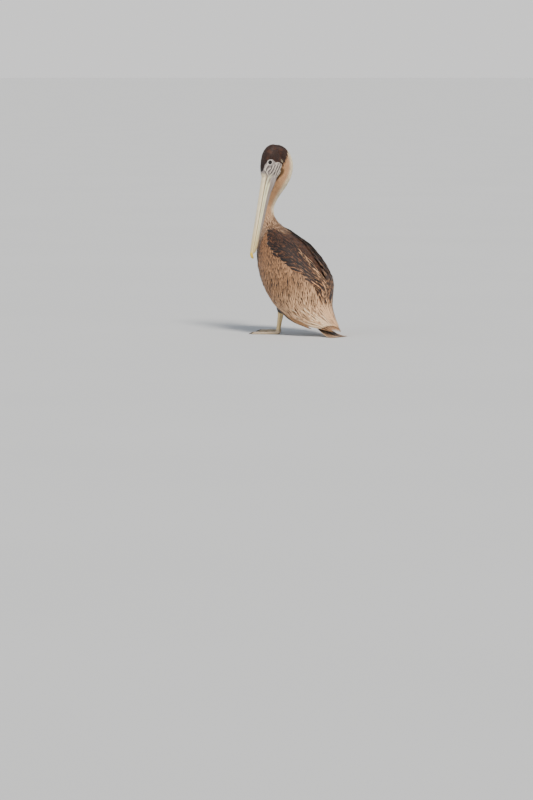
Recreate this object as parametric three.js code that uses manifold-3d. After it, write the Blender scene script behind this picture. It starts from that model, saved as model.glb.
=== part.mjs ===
// A brown pelican at rest, life size, in millimetres: +Z up, the bird faces -Y and its left side is +X.
// The body is a row of rounded sections along a spine, the folded wings are shells that wrap those
// sections, and the head turns to the bird's left with the bill hanging down in front of the breast.
import * as THREE from "three";
import { mergeVertices } from "three/addons/utils/BufferGeometryUtils.js";
import Module from "manifold-3d";

const wasm = await Module();
wasm.setup();

// ---------------------------------------------------------------- driving dimensions

const GAP = 0.35; // clearance between two pieces that meet
const DEG = Math.PI / 180;

const HEAD_TURN = 67 * DEG; // how far the head is turned to the bird's left
const BILL_LEAN = 11.6 * DEG; // how far the hanging bill leans forward from plumb
const HEAD_AT = new THREE.Vector3(52, -2, 655); // middle of the skull
const BILL_TIP = 374; // from the middle of the skull to the end of the nail, along the bill
const BILL_LIFT = 5; // how far the bill's line lies towards the crown from the skull's middle

const EYE_RADIUS = 7.3;
const EYE_AT = { along: 12, aside: 22.5, up: 11 };

const ANKLE_LEFT = new THREE.Vector3(38, 22, 15);
const ANKLE_RIGHT = new THREE.Vector3(-38, -32, 15);
const HEEL_HEIGHT = 92; // of the joint that hides in the belly feathers
const TOE_OUT = 12 * DEG; // each foot points this far outwards
const WEB_THICKNESS = 3;

// ---------------------------------------------------------------- solids and lofts

function solid(geometry) {
  const bare = (geometry.index ? geometry.toNonIndexed() : geometry.clone()).deleteAttribute("normal");
  bare.deleteAttribute("uv");
  const merged = mergeVertices(bare, 1e-4);
  const vertProperties = new Float32Array(merged.attributes.position.array);
  const wrap = (triVerts) => new wasm.Manifold(new wasm.Mesh({ numProp: 3, vertProperties, triVerts }));
  const faces = new Uint32Array(merged.index.array);
  const made = wrap(faces);
  return made.volume() < 0 ? wrap(faces.reverse()) : made;
}

function geometryOf(body) {
  const mesh = body.getMesh();
  const geometry = new THREE.BufferGeometry();
  geometry.setAttribute("position", new THREE.BufferAttribute(mesh.vertProperties, 3));
  geometry.setIndex(new THREE.BufferAttribute(mesh.triVerts, 1));
  geometry.computeVertexNormals();
  return geometry;
}

// Cuts can leave crumbs: only the largest body of a solid is kept.
function largest(body) {
  return body.decompose().reduce((a, b) => (a.volume() > b.volume() ? a : b));
}

// A closed skin over a grid of points: rows of equal length, each a closed ring, capped at both ends.
function ringSkin(rings) {
  const across = rings[0].length;
  const points = rings.flat();
  const faces = [];
  for (let i = 0; i + 1 < rings.length; i++)
    for (let j = 0; j < across; j++) {
      const a = i * across + j;
      const b = i * across + ((j + 1) % across);
      faces.push(a, b, b + across, a, b + across, a + across);
    }
  for (const [start, last] of [[0, false], [(rings.length - 1) * across, true]]) {
    const middle = new THREE.Vector3();
    for (let j = 0; j < across; j++) middle.addScaledVector(points[start + j], 1 / across);
    points.push(middle);
    for (let j = 0; j < across; j++) {
      const a = start + j;
      const b = start + ((j + 1) % across);
      faces.push(...(last ? [a, b, points.length - 1] : [b, a, points.length - 1]));
    }
  }
  const geometry = new THREE.BufferGeometry().setFromPoints(points);
  geometry.setIndex(faces);
  return geometry;
}

// A smooth run of sections through a few stations. Each station says where its middle is, its half
// width to the side, its reach up (towards the back) and down (towards the belly), how square it is
// (2 is an ellipse) and how far its left side is turned from +X.
class Spine {
  constructor(stations, headward) {
    this.headward = headward;
    const middles = stations.map((s) => new THREE.Vector3(...s.at));
    this.line = new THREE.CatmullRomCurve3(middles, false, "centripetal");
    this.sizes = new THREE.CatmullRomCurve3(stations.map((s) => new THREE.Vector3(s.side, s.up, s.down)));
    this.kinds = new THREE.CatmullRomCurve3(
      stations.map((s) => new THREE.Vector3(s.square ?? 2, s.turn ?? 0, 0)),
    );
  }

  section(t) {
    const tangent = this.line.getTangent(t);
    const size = this.sizes.getPoint(t);
    const kind = this.kinds.getPoint(t);
    const left = new THREE.Vector3(Math.cos(kind.y), Math.sin(kind.y), 0);
    left.addScaledVector(tangent, -left.dot(tangent)).normalize();
    const up = new THREE.Vector3().crossVectors(left, tangent);
    if (this.headward) up.negate();
    return { middle: this.line.getPoint(t), tangent, left, up, size, square: kind.x };
  }

  // The point of section t at an angle from the back, 90 degrees being the left side.
  point(t, angle, grow = 0) {
    const { middle, left, up, size, square } = this.section(t);
    const s = Math.sin(angle);
    const c = Math.cos(angle);
    const bend = (v) => Math.sign(v) * Math.abs(v) ** (2 / square);
    const reach = c > 0 ? size.y : size.z;
    return middle
      .addScaledVector(left, bend(s) * (Math.max(size.x, 0.4) + grow))
      .addScaledVector(up, bend(c) * (Math.max(reach, 0.4) + grow));
  }

  loft(rows, across, grow = 0, from = 0, to = 1) {
    const rings = [];
    for (let i = 0; i <= rows; i++) {
      const t = from + ((to - from) * i) / rows;
      const push = i === 0 ? -grow : i === rows ? grow : 0;
      const shift = this.line.getTangent(t).multiplyScalar(push);
      const ring = [];
      for (let j = 0; j < across; j++) {
        ring.push(this.point(t, (2 * Math.PI * j) / across, grow).add(shift));
      }
      rings.push(ring);
    }
    return solid(ringSkin(rings));
  }
}

const floorHalf = solid(new THREE.BoxGeometry(2000, 2000, 2000).translate(0, 0, 1000));

// ---------------------------------------------------------------- trunk, wings and tail

// The hull of body and folded wings together, from the shoulders to the end of the tail.
const hull = new Spine(
  [
    { at: [0, -40, 428], side: 24, up: 20, down: 24, square: 2.0 },
    { at: [0, -33, 404], side: 46, up: 29, down: 46, square: 2.1 },
    { at: [0, -12, 362], side: 79, up: 50, down: 80, square: 2.2 },
    { at: [0, 31, 292], side: 108, up: 88, down: 110, square: 2.3 },
    { at: [0, 72, 220], side: 117, up: 113, down: 116, square: 2.35 },
    { at: [0, 103, 158], side: 112, up: 129, down: 105, square: 2.3 },
    { at: [0, 138, 104], side: 94, up: 111, down: 75, square: 2.2 },
    { at: [0, 178, 66], side: 70, up: 75, down: 42, square: 2.2 },
    { at: [0, 222, 40], side: 49, up: 44, down: 23, square: 2.2 },
    { at: [0, 264, 21], side: 28, up: 20, down: 12, square: 2.0 },
  ],
  false,
);

// The trunk follows the hull down to the thighs and then narrows to the root of the tail.
const trunkSpine = new Spine(
  [
    { at: [0, -40, 428], side: 24, up: 20, down: 24, square: 2.0 },
    { at: [0, -33, 404], side: 46, up: 29, down: 46, square: 2.1 },
    { at: [0, -12, 362], side: 79, up: 50, down: 80, square: 2.2 },
    { at: [0, 31, 292], side: 108, up: 88, down: 110, square: 2.3 },
    { at: [0, 72, 220], side: 115, up: 111, down: 116, square: 2.35 },
    { at: [0, 103, 158], side: 104, up: 118, down: 105, square: 2.3 },
    { at: [0, 132, 108], side: 78, up: 88, down: 72, square: 2.2 },
    { at: [0, 165, 75], side: 50, up: 50, down: 42, square: 2.1 },
    { at: [0, 200, 50], side: 34, up: 24, down: 22, square: 2.0 },
    { at: [0, 228, 33], side: 22, up: 9, down: 11, square: 2.0 },
  ],
  false,
);
const trunkWhole = trunkSpine.loft(15, 22);

// A folded wing wraps the hull between two edges, given as angles from the back at even steps along
// it. It stands a little proud of the hull and sinks into the trunk. The scapulars are the mantle of
// long feathers between the wing's back edge and their own lower edge.
const WING = {
  from: 0.17,
  rows: 16,
  across: 8,
  backEdge: [40, 24, 18, 14, 8, 4, 3, 3, 3],
  scapularEdge: [60, 84, 68, 54, 34, 20, 6, 3, 3],
  bellyEdge: [84, 120, 130, 132, 130, 124, 116, 108, 96],
  proud: [1, 6, 9, 8, 7, 6, 5, 3, 1],
  sunk: [4, 12, 15, 15, 14, 12, 9, 6, 3],
};
const TIP_SLICE = 0.74; // along the hull: the bare quills of the wing tip start here

function along(list, t) {
  const at = Math.min(Math.max(t, 0), 1) * (list.length - 1);
  const i = Math.min(Math.floor(at), list.length - 2);
  return THREE.MathUtils.lerp(list[i], list[i + 1], at - i);
}

// The part of the hull's skin between two lists of angles, reaching out and in by two lists of depths.
function hullShell(side, grow, startEdge, endEdge, out, into) {
  const rings = [];
  for (let i = 0; i <= WING.rows; i++) {
    const t = i / WING.rows;
    const place = WING.from + (1 - WING.from) * t;
    const push = i === 0 ? -grow : i === WING.rows ? grow : 0;
    const shift = hull.line.getTangent(place).multiplyScalar(push);
    const spare = grow * 0.7 * DEG;
    const [a0, a1] = [along(startEdge, t) * DEG - spare, along(endEdge, t) * DEG + spare];
    const outer = [];
    const inner = [];
    for (let j = 0; j <= WING.across; j++) {
      const w = j / WING.across;
      const angle = side * (a0 + (a1 - a0) * w);
      const belly = Math.sin(Math.PI * w) ** 0.6;
      outer.push(hull.point(place, angle, 0.6 + out(t) * belly + grow).add(shift));
      inner.push(hull.point(place, angle, -1.5 - into(t) * belly - grow).add(shift));
    }
    rings.push([...outer, ...inner.reverse()]);
  }
  return solid(ringSkin(rings));
}

function wingShell(side, grow) {
  const [out, into] = [(t) => along(WING.proud, t), (t) => along(WING.sunk, t)];
  return hullShell(side, grow, WING.backEdge, WING.bellyEdge, out, into);
}

// A thick slab of the hull that holds the scapulars and nothing else of the wing.
function scapularSlab(side, grow) {
  const underMidline = WING.backEdge.map(() => -20);
  return hullShell(side, grow, underMidline, WING.scapularEdge, () => 40, () => 40);
}

function halfBehind(line, t, shift) {
  const block = new THREE.BoxGeometry(600, 600, 600).translate(0, 0, 300 + shift);
  const turn = new THREE.Quaternion().setFromUnitVectors(new THREE.Vector3(0, 0, 1), line.getTangent(t));
  const at = line.getPoint(t);
  return solid(block.applyQuaternion(turn).translate(at.x, at.y, at.z));
}

function wingPair(name, side) {
  const whole = wingShell(side, 0);
  const arm = whole.subtract(halfBehind(hull.line, TIP_SLICE, 0));
  return {
    name,
    coverts: arm.subtract(scapularSlab(side, GAP)),
    scapulars: arm.intersect(scapularSlab(side, 0)),
    primaries: whole.intersect(halfBehind(hull.line, TIP_SLICE, GAP)),
    cutter: wingShell(side, GAP),
  };
}

const wings = [wingPair("left", 1), wingPair("right", -1)];

// The tail is a thin fan that bends to lie along the floor.
const tailSpine = new Spine(
  [
    { at: [0, 130, 76], side: 20, up: 7, down: 7 },
    { at: [0, 168, 52], side: 32, up: 5, down: 5 },
    { at: [0, 208, 29], side: 44, up: 3.4, down: 3.4 },
    { at: [0, 242, 11], side: 54, up: 2.4, down: 2.6 },
    { at: [0, 268, 2.4], side: 56, up: 1.8, down: 2.8 },
    { at: [0, 286, 1.5], side: 45, up: 1.4, down: 2 },
    { at: [0, 296, 1.1], side: 16, up: 1.1, down: 1.5 },
  ],
  false,
);

// ---------------------------------------------------------------- neck and head

const neckSpine = new Spine(
  [
    { at: [0, -26, 366], side: 68, up: 50, down: 56 },
    { at: [1, -42, 408], side: 39, up: 33, down: 43 },
    { at: [1, -53, 446], side: 29, up: 29, down: 32 },
    { at: [-1, -52, 480], side: 27, up: 27, down: 28 },
    { at: [-2, -37, 511], side: 27, up: 27, down: 28, turn: 8 * DEG },
    { at: [-2, -15, 540], side: 27, up: 27, down: 28, turn: 14 * DEG },
    { at: [-4, 10, 572], side: 28, up: 28, down: 29, turn: 24 * DEG },
    { at: [-9, 25, 606], side: 28, up: 28, down: 30, turn: 38 * DEG },
    { at: [-9, 28, 642], side: 28, up: 28, down: 30, turn: 52 * DEG },
    { at: [2, 20, 674], side: 27, up: 27, down: 29, turn: 62 * DEG },
    { at: [22, 10, 689], side: 25, up: 24, down: 26, turn: 67 * DEG },
    { at: [40, 2, 683], side: 20, up: 20, down: 20, turn: 67 * DEG },
  ],
  true,
);
const NECK_LENGTHS = [
  { name: "neck_lower", from: 0, to: 0.27, rows: 4 },
  { name: "neck_middle", from: 0.27, to: 0.56, rows: 6 },
  { name: "neck_upper", from: 0.56, to: 1, rows: 9 },
];

// Places on the head are (along the bill, to the left, towards the crown), from the skull's middle.
const facing = new THREE.Vector3(Math.sin(HEAD_TURN), -Math.cos(HEAD_TURN), 0);
const alongBill = facing.clone().multiplyScalar(Math.sin(BILL_LEAN)).setZ(-Math.cos(BILL_LEAN));
const toCrown = facing.clone().multiplyScalar(Math.cos(BILL_LEAN)).setZ(Math.sin(BILL_LEAN));
const toLeft = new THREE.Vector3(Math.cos(HEAD_TURN), Math.sin(HEAD_TURN), 0);

function onHead(forward, left, up) {
  return HEAD_AT.clone()
    .addScaledVector(alongBill, forward)
    .addScaledVector(toLeft, left)
    .addScaledVector(toCrown, up);
}

// A spine on the head: each station is [along, towards the crown, side, up, down, square].
function headSpine(stations) {
  return new Spine(
    stations.map(([forward, lift, side, up, down, square]) => ({
      at: onHead(forward, 0, lift).toArray(),
      side,
      up,
      down,
      square,
      turn: HEAD_TURN,
    })),
    true,
  );
}

const skull = headSpine([
  [-61, -10, 3, 3, 3, 2],
  [-52, -8, 16, 17, 19, 2],
  [-34, -4, 25, 29, 40, 2],
  [-10, 0, 29, 33, 52, 2.1],
  [14, 1, 28, 32, 54, 2.2],
  [38, 3, 24, 28, 44, 2.2],
  [58, 5, 18.5, 19, 31, 2.2],
  [71, 4, 15, 12, 22, 2.2],
  [82, 2, 7, 4, 10, 2],
]);

const billUpper = headSpine([
  [44, 1, 16, 15, 17, 2.3],
  [66, 3, 16.5, 14, 14, 2.4],
  [95, BILL_LIFT, 15.5, 11.5, 10, 2.5],
  [130, BILL_LIFT, 14.5, 10.5, 8, 2.5],
  [220, BILL_LIFT, 13.5, 8, 7, 2.6],
  [310, BILL_LIFT, 13, 6.5, 6.5, 2.8],
  [345, BILL_LIFT, 11, 5.5, 6, 2.6],
  [358, BILL_LIFT - 1, 7, 5, 5, 2.2],
]);

const billLower = headSpine([
  [48, -22, 14.5, 8, 12, 2.1],
  [80, -15, 15, 8, 11, 2.1],
  [130, -9.5, 14, 7, 9, 2.1],
  [200, -7, 13, 5.5, 8, 2.1],
  [280, -5.5, 12, 4.5, 7, 2.2],
  [330, -4.5, 10.5, 3.6, 6, 2.3],
  [352, -3.5, 6, 2.6, 4, 2.1],
]);

// The throat pouch is drawn up into a keel of folded skin under the jaw.
const pouch = headSpine([
  [26, -36, 8, 6, 8, 2],
  [50, -30, 13.5, 10, 15, 2],
  [70, -27, 13, 9, 13.5, 2],
  [92, -24, 12.5, 9, 12.5, 2],
  [120, -19, 11.5, 8, 9.5, 2],
  [165, -15.5, 10.5, 7, 8.5, 2],
  [225, -13, 9, 6, 8, 2],
  [285, -10, 7, 5, 6.5, 2],
  [322, -8.5, 2.5, 2.5, 2.5, 2],
]);

// The loose skin of the cheek behind the gape, from under the eye to the root of the pouch.
const cheek = headSpine([
  [-8, -30, 9, 8, 12, 2],
  [8, -30, 19, 12, 23, 2],
  [34, -27, 19, 14, 25, 2],
  [56, -22, 15, 11, 20, 2],
  [76, -18, 7, 5, 9, 2],
]);

// The nail hooks down over the end of the bill.
const nail = headSpine([
  [350, BILL_LIFT + 1, 6, 4.2, 3, 2],
  [360, BILL_LIFT + 0.5, 6.4, 5, 4.5, 2],
  [370, BILL_LIFT - 4, 4.6, 4.5, 5.5, 2],
  [BILL_TIP, BILL_LIFT - 10, 1.4, 2, 3, 2],
]);

// ---------------------------------------------------------------- legs

// A foot lies flat, toes forward along -Y before it is turned: all four toes share one web.
const TOES = [
  { name: "inner", angle: 62, length: 44, root: 6.2, tip: 3.4 },
  { name: "second", angle: 25, length: 78, root: 7, tip: 3.6 },
  { name: "middle", angle: 0, length: 98, root: 7.4, tip: 3.8 },
  { name: "outer", angle: -24, length: 94, root: 7, tip: 3.6 },
];
const CLAW_LENGTH = 13;

function placed(body, at, turn) {
  return body.rotate([0, 0, turn / DEG]).translate([at.x, at.y, 0]);
}

function footOf(side, ankle) {
  const direction = (angle) => [side * -Math.sin(angle * DEG), -Math.cos(angle * DEG)];
  let body = null;
  const outline = new THREE.Shape();
  outline.moveTo(side * 6, 12);
  outline.lineTo(side * -8, 10);
  TOES.forEach(({ angle, length, root, tip }, i) => {
    const [x, y] = direction(angle);
    // A section of the toe at a share of its length, with its height off the floor and its reaches.
    const joint = (share, height, half, up, down) => {
      const reach = share * length;
      return { at: [x * reach, y * reach, height], side: half, up, down };
    };
    const stations = [
      { at: [0, 6, 7.5], side: 7.5, up: 7.5, down: 8 },
      joint(0.2, root * 0.9, root, root * 0.95, root),
      joint(0.6, root * 0.7, root * 0.8, root * 0.72, root * 0.75),
      joint(1, tip * 0.8, tip, tip, tip),
      joint(1 + CLAW_LENGTH / length, 1.1, 0.9, 0.9, 1.3),
    ];
    const toe = new Spine(stations, true).loft(5, 8);
    body = body ? body.add(toe) : toe;
    outline.lineTo(x * length, y * length);
    const next = TOES[i + 1];
    if (next) {
      // The free edge of the web hangs back between two toe tips.
      const [nx, ny] = direction(next.angle);
      const middle = direction((angle + next.angle) / 2);
      const reach = 0.8 * Math.min(length, next.length) + 0.06 * Math.abs(length - next.length);
      outline.quadraticCurveTo(middle[0] * reach, middle[1] * reach, nx * next.length, ny * next.length);
    }
  });
  outline.closePath();
  const sheet = { depth: WEB_THICKNESS, bevelEnabled: false, curveSegments: 4 };
  const web = new THREE.ExtrudeGeometry(outline, sheet);
  const shank = new Spine(
    [
      { at: [0, 8, 2], side: 8, up: 9, down: 8 },
      { at: [0, 6, 12], side: 7, up: 8.5, down: 8 },
      { at: [0, 5, 24], side: 5.6, up: 7.6, down: 7.4 },
    ],
    true,
  ).loft(3, 10);
  body = body.add(solid(web)).add(shank).intersect(floorHalf);
  return largest(placed(body, ankle, side * TOE_OUT));
}

function shankOf(ankle, heel, grow) {
  const lean = heel.clone().sub(ankle);
  const at = (t) => ankle.clone().add(new THREE.Vector3(0, 5, 0)).addScaledVector(lean, t).toArray();
  return new Spine(
    [
      { at: at(0.13), side: 5.4, up: 7.6, down: 7.4 },
      { at: at(0.35), side: 4.8, up: 7.4, down: 7 },
      { at: at(0.7), side: 4.9, up: 7.6, down: 7.2 },
      { at: at(0.92), side: 6.6, up: 9, down: 8.4 },
      { at: at(1.1), side: 6.2, up: 8, down: 8 },
    ],
    true,
  ).loft(6, 10, grow);
}

function thighOf(side, heel, grow) {
  return new Spine(
    [
      { at: [heel.x, heel.y + 5, heel.z - 9], side: 10, up: 12, down: 11 },
      { at: [heel.x + side, heel.y + 9, heel.z + 8], side: 17, up: 20, down: 18 },
      { at: [side * 44, heel.y * 0.6 + 30, heel.z + 32], side: 27, up: 32, down: 30 },
      { at: [side * 46, heel.y * 0.5 + 48, heel.z + 62], side: 32, up: 40, down: 38 },
    ],
    true,
  ).loft(6, 14, grow);
}

const legs = [
  { name: "left", side: 1, ankle: ANKLE_LEFT, heel: new THREE.Vector3(42, 34, HEEL_HEIGHT) },
  { name: "right", side: -1, ankle: ANKLE_RIGHT, heel: new THREE.Vector3(-42, -14, HEEL_HEIGHT) },
].map((leg) => ({
  ...leg,
  foot: footOf(leg.side, leg.ankle),
}));

// ---------------------------------------------------------------- parting the pieces

const solids = new Map();
const cut = (body, ...cutters) => largest(cutters.reduce((rest, c) => rest.subtract(c), body));

const headWhole = skull.loft(12, 18).add(cheek.loft(6, 12));
const headGrown = skull.loft(12, 18, GAP).add(cheek.loft(6, 12, GAP));
const upperBillGrown = billUpper.loft(11, 12, GAP);
const lowerBillGrown = billLower.loft(11, 12, GAP);
const pouchGrown = pouch.loft(9, 10, GAP);
const nailGrown = nail.loft(5, 8, GAP);

for (const [name, side] of [["left", 1], ["right", -1]]) {
  const at = onHead(EYE_AT.along, side * EYE_AT.aside, EYE_AT.up);
  const ball = (radius) => solid(new THREE.IcosahedronGeometry(radius, 1).translate(at.x, at.y, at.z));
  solids.set(`eye_${name}`, { body: ball(EYE_RADIUS), cutter: ball(EYE_RADIUS + GAP) });
}
const eyeCutters = [solids.get("eye_left").cutter, solids.get("eye_right").cutter];

solids.set("head", { body: cut(headWhole, upperBillGrown, lowerBillGrown, pouchGrown, ...eyeCutters) });
solids.set("bill_upper", { body: cut(billUpper.loft(11, 12), nailGrown) });
solids.set("bill_nail", { body: nail.loft(5, 8) });
solids.set("bill_lower", { body: cut(billLower.loft(11, 12), upperBillGrown, nailGrown) });
solids.set("bill_pouch", { body: cut(pouch.loft(9, 10), upperBillGrown, lowerBillGrown) });

const neckCutters = [headGrown, upperBillGrown, lowerBillGrown, pouchGrown];
for (const { name, from, to, rows } of NECK_LENGTHS) {
  const start = from === 0 ? 0 : from + 0.0012;
  solids.set(name, { body: cut(neckSpine.loft(rows, 16, 0, start, to), ...neckCutters) });
}
const [neckRoot] = NECK_LENGTHS;
const neckGrown = neckSpine.loft(neckRoot.rows, 16, GAP, neckRoot.from, neckRoot.to);

const tailBody = tailSpine.loft(9, 16).intersect(floorHalf);
const tailGrown = tailSpine.loft(9, 16, GAP);
const wingCutters = wings.map((wing) => wing.cutter);
const legsGrown = legs.map(({ side, ankle, heel }) =>
  thighOf(side, heel, GAP).add(shankOf(ankle, heel, GAP)),
);

solids.set("tail", { body: largest(tailBody) });
for (const { name, coverts, scapulars, primaries } of wings) {
  solids.set(`wing_${name}_coverts`, { body: cut(coverts, tailGrown) });
  solids.set(`wing_${name}_scapulars`, { body: largest(scapulars) });
  solids.set(`wing_${name}_primaries`, { body: cut(primaries, tailGrown) });
}
solids.set("trunk", {
  body: cut(trunkWhole, neckGrown, tailGrown, ...wingCutters, ...legsGrown),
});
for (const { name, side, ankle, heel, foot } of legs) {
  const shankGrown = shankOf(ankle, heel, GAP);
  solids.set(`thigh_${name}`, { body: cut(thighOf(side, heel, 0), shankGrown, ...wingCutters) });
  solids.set(`shank_${name}`, { body: shankOf(ankle, heel, 0) });
  solids.set(`foot_${name}`, { body: cut(foot, shankGrown) });
}

const COVERINGS = [
  ["head", "crown"],
  ["neck", "neck"],
  ["tail", "quill"],
  ["bill_nail", "nail"],
  ["bill_pouch", "skin"],
  ["bill", "horn"],
  ["shank", "skin"],
  ["foot", "skin"],
  ["eye", "eye"],
];
const colours = {
  plumage: { color: 0x8a6a52, roughness: 0.85 },
  neck: { color: 0xb79a7c, roughness: 0.85 },
  crown: { color: 0x3d2c28, roughness: 0.85 },
  quill: { color: 0x4a382f, roughness: 0.7 },
  horn: { color: 0xcdbfab, roughness: 0.45 },
  nail: { color: 0xd9c692, roughness: 0.4 },
  skin: { color: 0x96918a, roughness: 0.6 },
  eye: { color: 0x1c120e, roughness: 0.08 },
};

const root = new THREE.Group();
for (const [name, { body }] of solids) {
  const kind = COVERINGS.find(([start]) => name.startsWith(start))?.[1] ?? "plumage";
  const material = new THREE.MeshStandardMaterial({ ...colours[kind], metalness: 0 });
  const mesh = new THREE.Mesh(geometryOf(body), material);
  mesh.name = name;
  root.add(mesh);
}

// The frame's origin is the middle of the bird's footprint box, on the floor.
const middle = new THREE.Box3().setFromObject(root, true).getCenter(new THREE.Vector3());
root.position.set(-middle.x, -middle.y, 0);

export default root;
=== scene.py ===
"""A brown pelican at rest: one skin with feathers of solid mesh over it, bill, eyes, legs and webs.

Shapes are worked out in millimetres in the bird's own frame (the bird faces -Y, its left side is +X,
the floor is z = 0) and are moved into the part's frame, in metres, when a mesh is made.
"""

import bmesh
import bpy
import numpy as np
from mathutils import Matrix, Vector, noise
from mathutils.bvhtree import BVHTree


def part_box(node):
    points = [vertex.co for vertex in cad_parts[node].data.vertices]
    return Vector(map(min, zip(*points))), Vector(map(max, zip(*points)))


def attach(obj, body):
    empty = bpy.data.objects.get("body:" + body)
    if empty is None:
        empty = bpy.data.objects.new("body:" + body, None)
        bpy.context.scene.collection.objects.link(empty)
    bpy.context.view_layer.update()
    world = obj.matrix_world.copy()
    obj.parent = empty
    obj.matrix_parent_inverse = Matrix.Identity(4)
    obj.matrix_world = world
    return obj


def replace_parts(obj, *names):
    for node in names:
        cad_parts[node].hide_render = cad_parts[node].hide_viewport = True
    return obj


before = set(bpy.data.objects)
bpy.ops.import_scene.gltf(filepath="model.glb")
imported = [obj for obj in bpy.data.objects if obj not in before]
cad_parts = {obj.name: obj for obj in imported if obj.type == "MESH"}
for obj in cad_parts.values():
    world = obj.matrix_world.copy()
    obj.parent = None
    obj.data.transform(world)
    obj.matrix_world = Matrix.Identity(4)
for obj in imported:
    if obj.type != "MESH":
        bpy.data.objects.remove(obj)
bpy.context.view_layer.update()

# ---------------------------------------------------------------- driving dimensions

HEAD_TURN = np.radians(67)  # how far the head is turned to the bird's left
BILL_LEAN = np.radians(11.6)  # how far the hanging bill leans forward from plumb
HEAD_AT = np.array([52.0, -2.0, 655.0])  # middle of the skull
EYE_AT = np.array([12.0, 22.5, 11.0])  # along the bill, aside, towards the crown
EYE_RADIUS = 7.3
EYE_OPENING = 7.0  # radius of the opening of the lids
BILL_LIFT = 5.0  # how far the bill's line lies towards the crown from the skull's middle
EYE_RING = 10.3  # radius of the bare skin round the eye

VOXEL = 2.8  # of the skin, where its overlapping shapes are fused
COAT = {"body": 6.0, "neck": 3.6, "thigh": 4.5, "wing": 4.5, "crown": 1.8}  # depth of the feathers
SPACING = {"body": 5.2, "mantle": 6.0}  # between the roots of feathers

# Rounded sections along a line: x, y, z, half width, reach up, reach down, squareness, turn in degrees.
HULL = [
    (0, -40, 428, 24, 20, 24, 2.0),
    (0, -33, 404, 46, 29, 46, 2.1),
    (0, -12, 362, 79, 50, 80, 2.2),
    (0, 31, 292, 108, 88, 110, 2.3),
    (0, 72, 220, 117, 113, 116, 2.35),
    (0, 103, 158, 112, 129, 105, 2.3),
    (0, 138, 104, 94, 111, 75, 2.2),
    (0, 178, 66, 70, 75, 42, 2.2),
    (0, 222, 40, 49, 44, 23, 2.2),
    (0, 264, 21, 28, 20, 12, 2.0),
]
TRUNK = HULL[:4] + [
    (0, 72, 220, 115, 111, 116, 2.35),
    (0, 103, 158, 104, 118, 105, 2.3),
    (0, 132, 108, 78, 88, 72, 2.2),
    (0, 165, 75, 50, 50, 42, 2.1),
    (0, 200, 50, 34, 24, 22, 2.0),
    (0, 228, 33, 22, 9, 11, 2.0),
]
NECK = [
    (0, -26, 366, 68, 50, 56, 2, 0),
    (1, -42, 408, 39, 33, 43, 2, 0),
    (1, -53, 446, 29, 29, 32, 2, 0),
    (-1, -52, 480, 27, 27, 28, 2, 0),
    (-2, -37, 511, 27, 27, 28, 2, 8),
    (-2, -15, 540, 27, 27, 28, 2, 14),
    (-4, 10, 572, 28, 28, 29, 2, 24),
    (-9, 25, 606, 28, 28, 30, 2, 38),
    (-9, 28, 642, 28, 28, 30, 2, 52),
    (2, 20, 674, 27, 27, 29, 2, 62),
    (22, 10, 689, 25, 24, 26, 2, 67),
    (40, 2, 683, 20, 20, 20, 2, 67),
]
TAIL = [
    (0, 130, 76, 20, 7, 7),
    (0, 168, 52, 32, 5, 5),
    (0, 208, 29, 44, 3.4, 3.4),
    (0, 242, 11, 54, 2.4, 2.6),
    (0, 268, 2.4, 56, 1.8, 2.8),
    (0, 286, 1.5, 45, 1.4, 2),
    (0, 296, 1.1, 16, 1.1, 1.5),
]
# On the head a section is: along the bill, towards the crown, half width, up, down, squareness.
SKULL = [
    (-61, -10, 3, 3, 3, 2),
    (-52, -8, 16, 17, 19, 2),
    (-34, -4, 25, 29, 40, 2),
    (-10, 0, 29, 33, 52, 2.1),
    (14, 1, 28, 32, 54, 2.2),
    (38, 3, 24, 28, 44, 2.2),
    (58, 5, 18.5, 19, 31, 2.2),
    (71, 4, 15, 12, 22, 2.2),
    (82, 2, 7, 4, 10, 2),
]
CHEEK = [
    (-8, -30, 9, 8, 12, 2),
    (8, -30, 19, 12, 23, 2),
    (34, -27, 19, 14, 25, 2),
    (56, -22, 15, 11, 20, 2),
    (76, -18, 7, 5, 9, 2),
]
BILL_UPPER = [
    (44, 1, 16, 15, 17, 2.3),
    (66, 3, 16.5, 14, 14, 2.4),
    (95, BILL_LIFT, 15.5, 11.5, 10, 2.5),
    (130, BILL_LIFT, 14.5, 10.5, 8, 2.5),
    (220, BILL_LIFT, 13.5, 8, 7, 2.6),
    (310, BILL_LIFT, 13, 6.5, 6.5, 2.8),
    (345, BILL_LIFT, 11, 5.5, 6, 2.6),
    (358, BILL_LIFT - 1, 7, 5, 5, 2.2),
]
BILL_LOWER = [
    (48, -22, 14.5, 8, 12, 2.1),
    (80, -15, 15, 8, 11, 2.1),
    (130, -9.5, 14, 7, 9, 2.1),
    (200, -7, 13, 5.5, 8, 2.1),
    (280, -5.5, 12, 4.5, 7, 2.2),
    (330, -4.5, 10.5, 3.6, 6, 2.3),
    (352, -3.5, 6, 2.6, 4, 2.1),
]
POUCH = [
    (26, -36, 8, 6, 8, 2),
    (50, -30, 13.5, 10, 15, 2),
    (70, -27, 13, 9, 13.5, 2),
    (92, -24, 12.5, 9, 12.5, 2),
    (120, -19, 11.5, 8, 9.5, 2),
    (165, -15.5, 10.5, 7, 8.5, 2),
    (225, -13, 9, 6, 8, 2),
    (285, -10, 7, 5, 6.5, 2),
    (322, -8.5, 2.5, 2.5, 2.5, 2),
]
NAIL = [
    (350, BILL_LIFT + 1, 6, 4.2, 3, 2),
    (360, BILL_LIFT + 0.5, 6.4, 5, 4.5, 2),
    (370, BILL_LIFT - 4, 4.6, 4.5, 5.5, 2),
    (374, BILL_LIFT - 10, 1.4, 2, 3, 2),
]
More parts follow.
